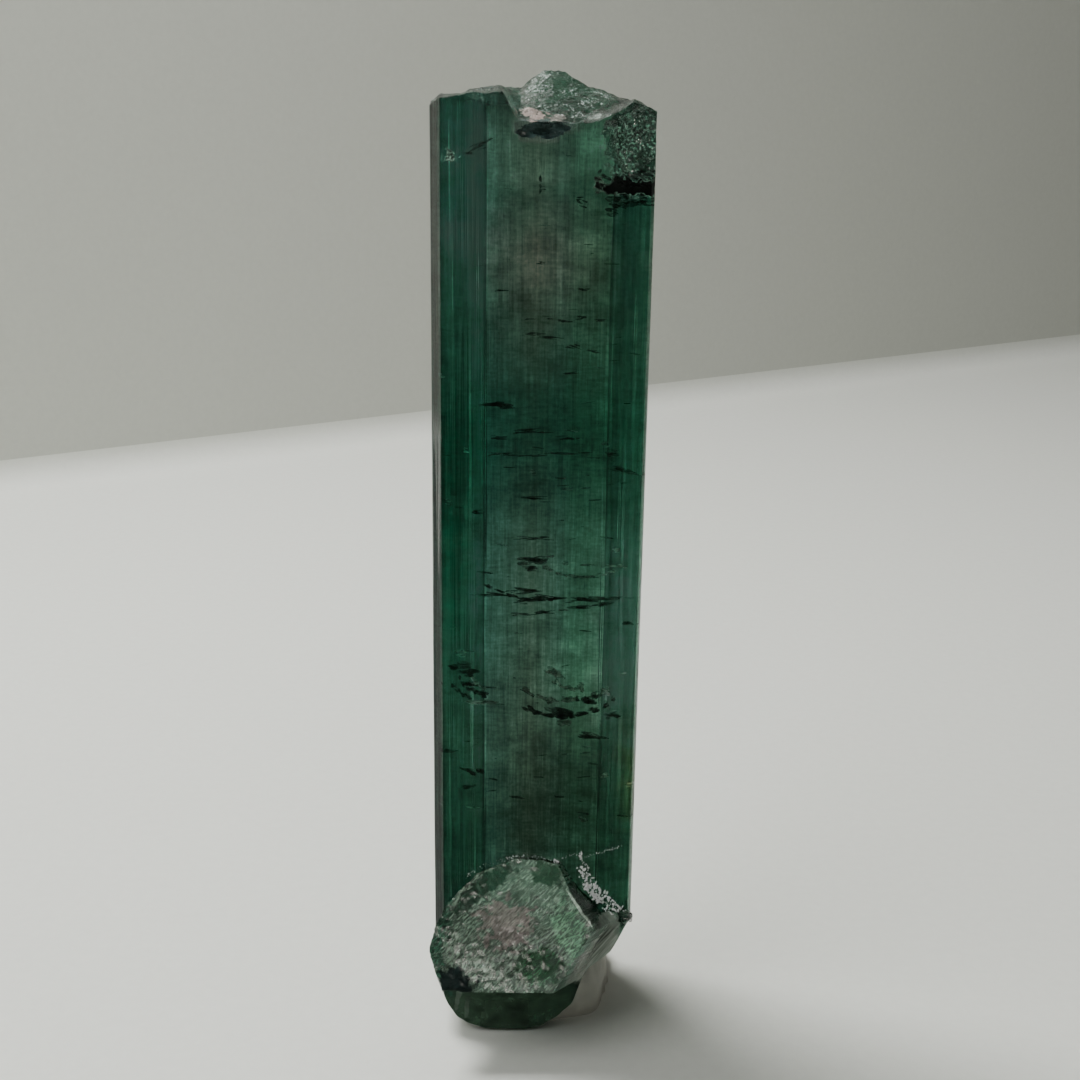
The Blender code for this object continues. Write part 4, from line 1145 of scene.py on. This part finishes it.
# Each lamp: name, place in millimetres, side in millimetres, watts, colour.
LAMPS = (
    ("window", (-170, -110, 235), 230, 0.45, "#FFFFFF"),
    ("ceiling", (-82, 66, 226), 84, 0.98, "#FFFFFF"),
    ("glint", (150, -260, 330), 34, 1.1, "#FFF9EE"),
)
LAMPS_AIM = Vector((0.0, 0.0, 25.0)) * MM
CAMERA_AT = Vector((0.0, -71.6, 49.4)) * MM
CAMERA_PITCH, CAMERA_ROLL = math.radians(17.5), math.radians(0.8)


def table_and_wall():
    """One sheet: the table, a small cove, and the wall, which runs away to the right."""
    profile = [(-TABLE_SIZE, 0.0)]
    for k in range(COVE_STEPS + 1):
        angle = math.radians(90 * k / COVE_STEPS)
        profile.append((COVE * (math.sin(angle) - 1.0), COVE * (1.0 - math.cos(angle))))
    profile.append((0.0, WALL_HEIGHT))
    points = [(side * TABLE_SIZE, away, up) for away, up in profile for side in (-1, 1)]
    faces = [(2 * k, 2 * k + 1, 2 * k + 3, 2 * k + 2) for k in range(len(profile) - 1)]
    mesh = plain_mesh("table", points, [], faces)
    turn = Matrix.Rotation(WALL_TURN, 4, "Z")
    mesh.transform(Matrix.Translation(Vector((0.0, WALL_AWAY, 0.0)) - CENTRE) @ turn)
    mesh.shade_smooth()
    return new_object("table", mesh)


def sheet(name, corners, material):
    """A flat sheet that shows only in reflections."""
    mesh = plain_mesh(name, [Vector(corner) * MM for corner in corners], [], [(0, 1, 2, 3)])
    mesh.materials.append(material)
    made = new_object(name, mesh)
    made.visible_camera = made.visible_diffuse = made.visible_shadow = False
    return made


def board(name, dark, light, size=1 / 1.5, detail=3.0, rough=0.7):
    """A plain material for what isn't the object."""
    return two_tone(name, size, detail, dark, light, rough)[0]


table = table_and_wall()
table.data.materials.append(board("painted table board, matt", "#D8DAD2", "#E0E2DA"))
# The wall is the same sheet as the table in a darker tone: painted shade, as the upright part gets less
# light.
table.data.materials.append(board("table board in painted shade, matt", "#BDBFB6", "#C5C7BE"))
table.data.polygons[-1].material_index = 1
flag = sheet("flag", FLAG, board("black flocked card", "#0C0D0C", "#171817", 1 / 0.9, 2.0, 0.95))
card = sheet("card", CARD, board("grey card, matt", "#6E706C", "#747672"))
card.visible_transmission = False

world = bpy.data.worlds.new("soft room light")
bpy.context.scene.world = world
world.use_nodes = True
feed(world.node_tree, world.node_tree.nodes["Background"], {"Color": linear("#E6E7E4"), "Strength": 0.10})
for name, place, side, watts, code in LAMPS:
    lamp = bpy.data.lights.new(name, "AREA")
    lamp.shape = "DISK"
    lamp.size = side * MM
    lamp.energy = watts
    lamp.color = linear(code)[:3]
    holder = new_object(name, lamp)
    holder.location = Vector(place) * MM
    holder.rotation_euler = (LAMPS_AIM - holder.location).to_track_quat("-Z", "Y").to_euler()
    holder.visible_diffuse = name != "glint"
    holder.visible_glossy = name == "glint"

camera_data = bpy.data.cameras.new("camera")
camera_data.sensor_width = 36.0
camera_data.lens = 53.33
camera_data.clip_start = 5 * MM
camera_data.clip_end = 5.0
camera = new_object("camera", camera_data)
forward = Vector((0.0, math.cos(CAMERA_PITCH), -math.sin(CAMERA_PITCH)))
camera.matrix_world = (Matrix.Translation(CAMERA_AT - CENTRE)
                       @ forward.to_track_quat("-Z", "Y").to_matrix().to_4x4()
                       @ Matrix.Rotation(CAMERA_ROLL, 4, "Z"))
bpy.context.scene.camera = camera
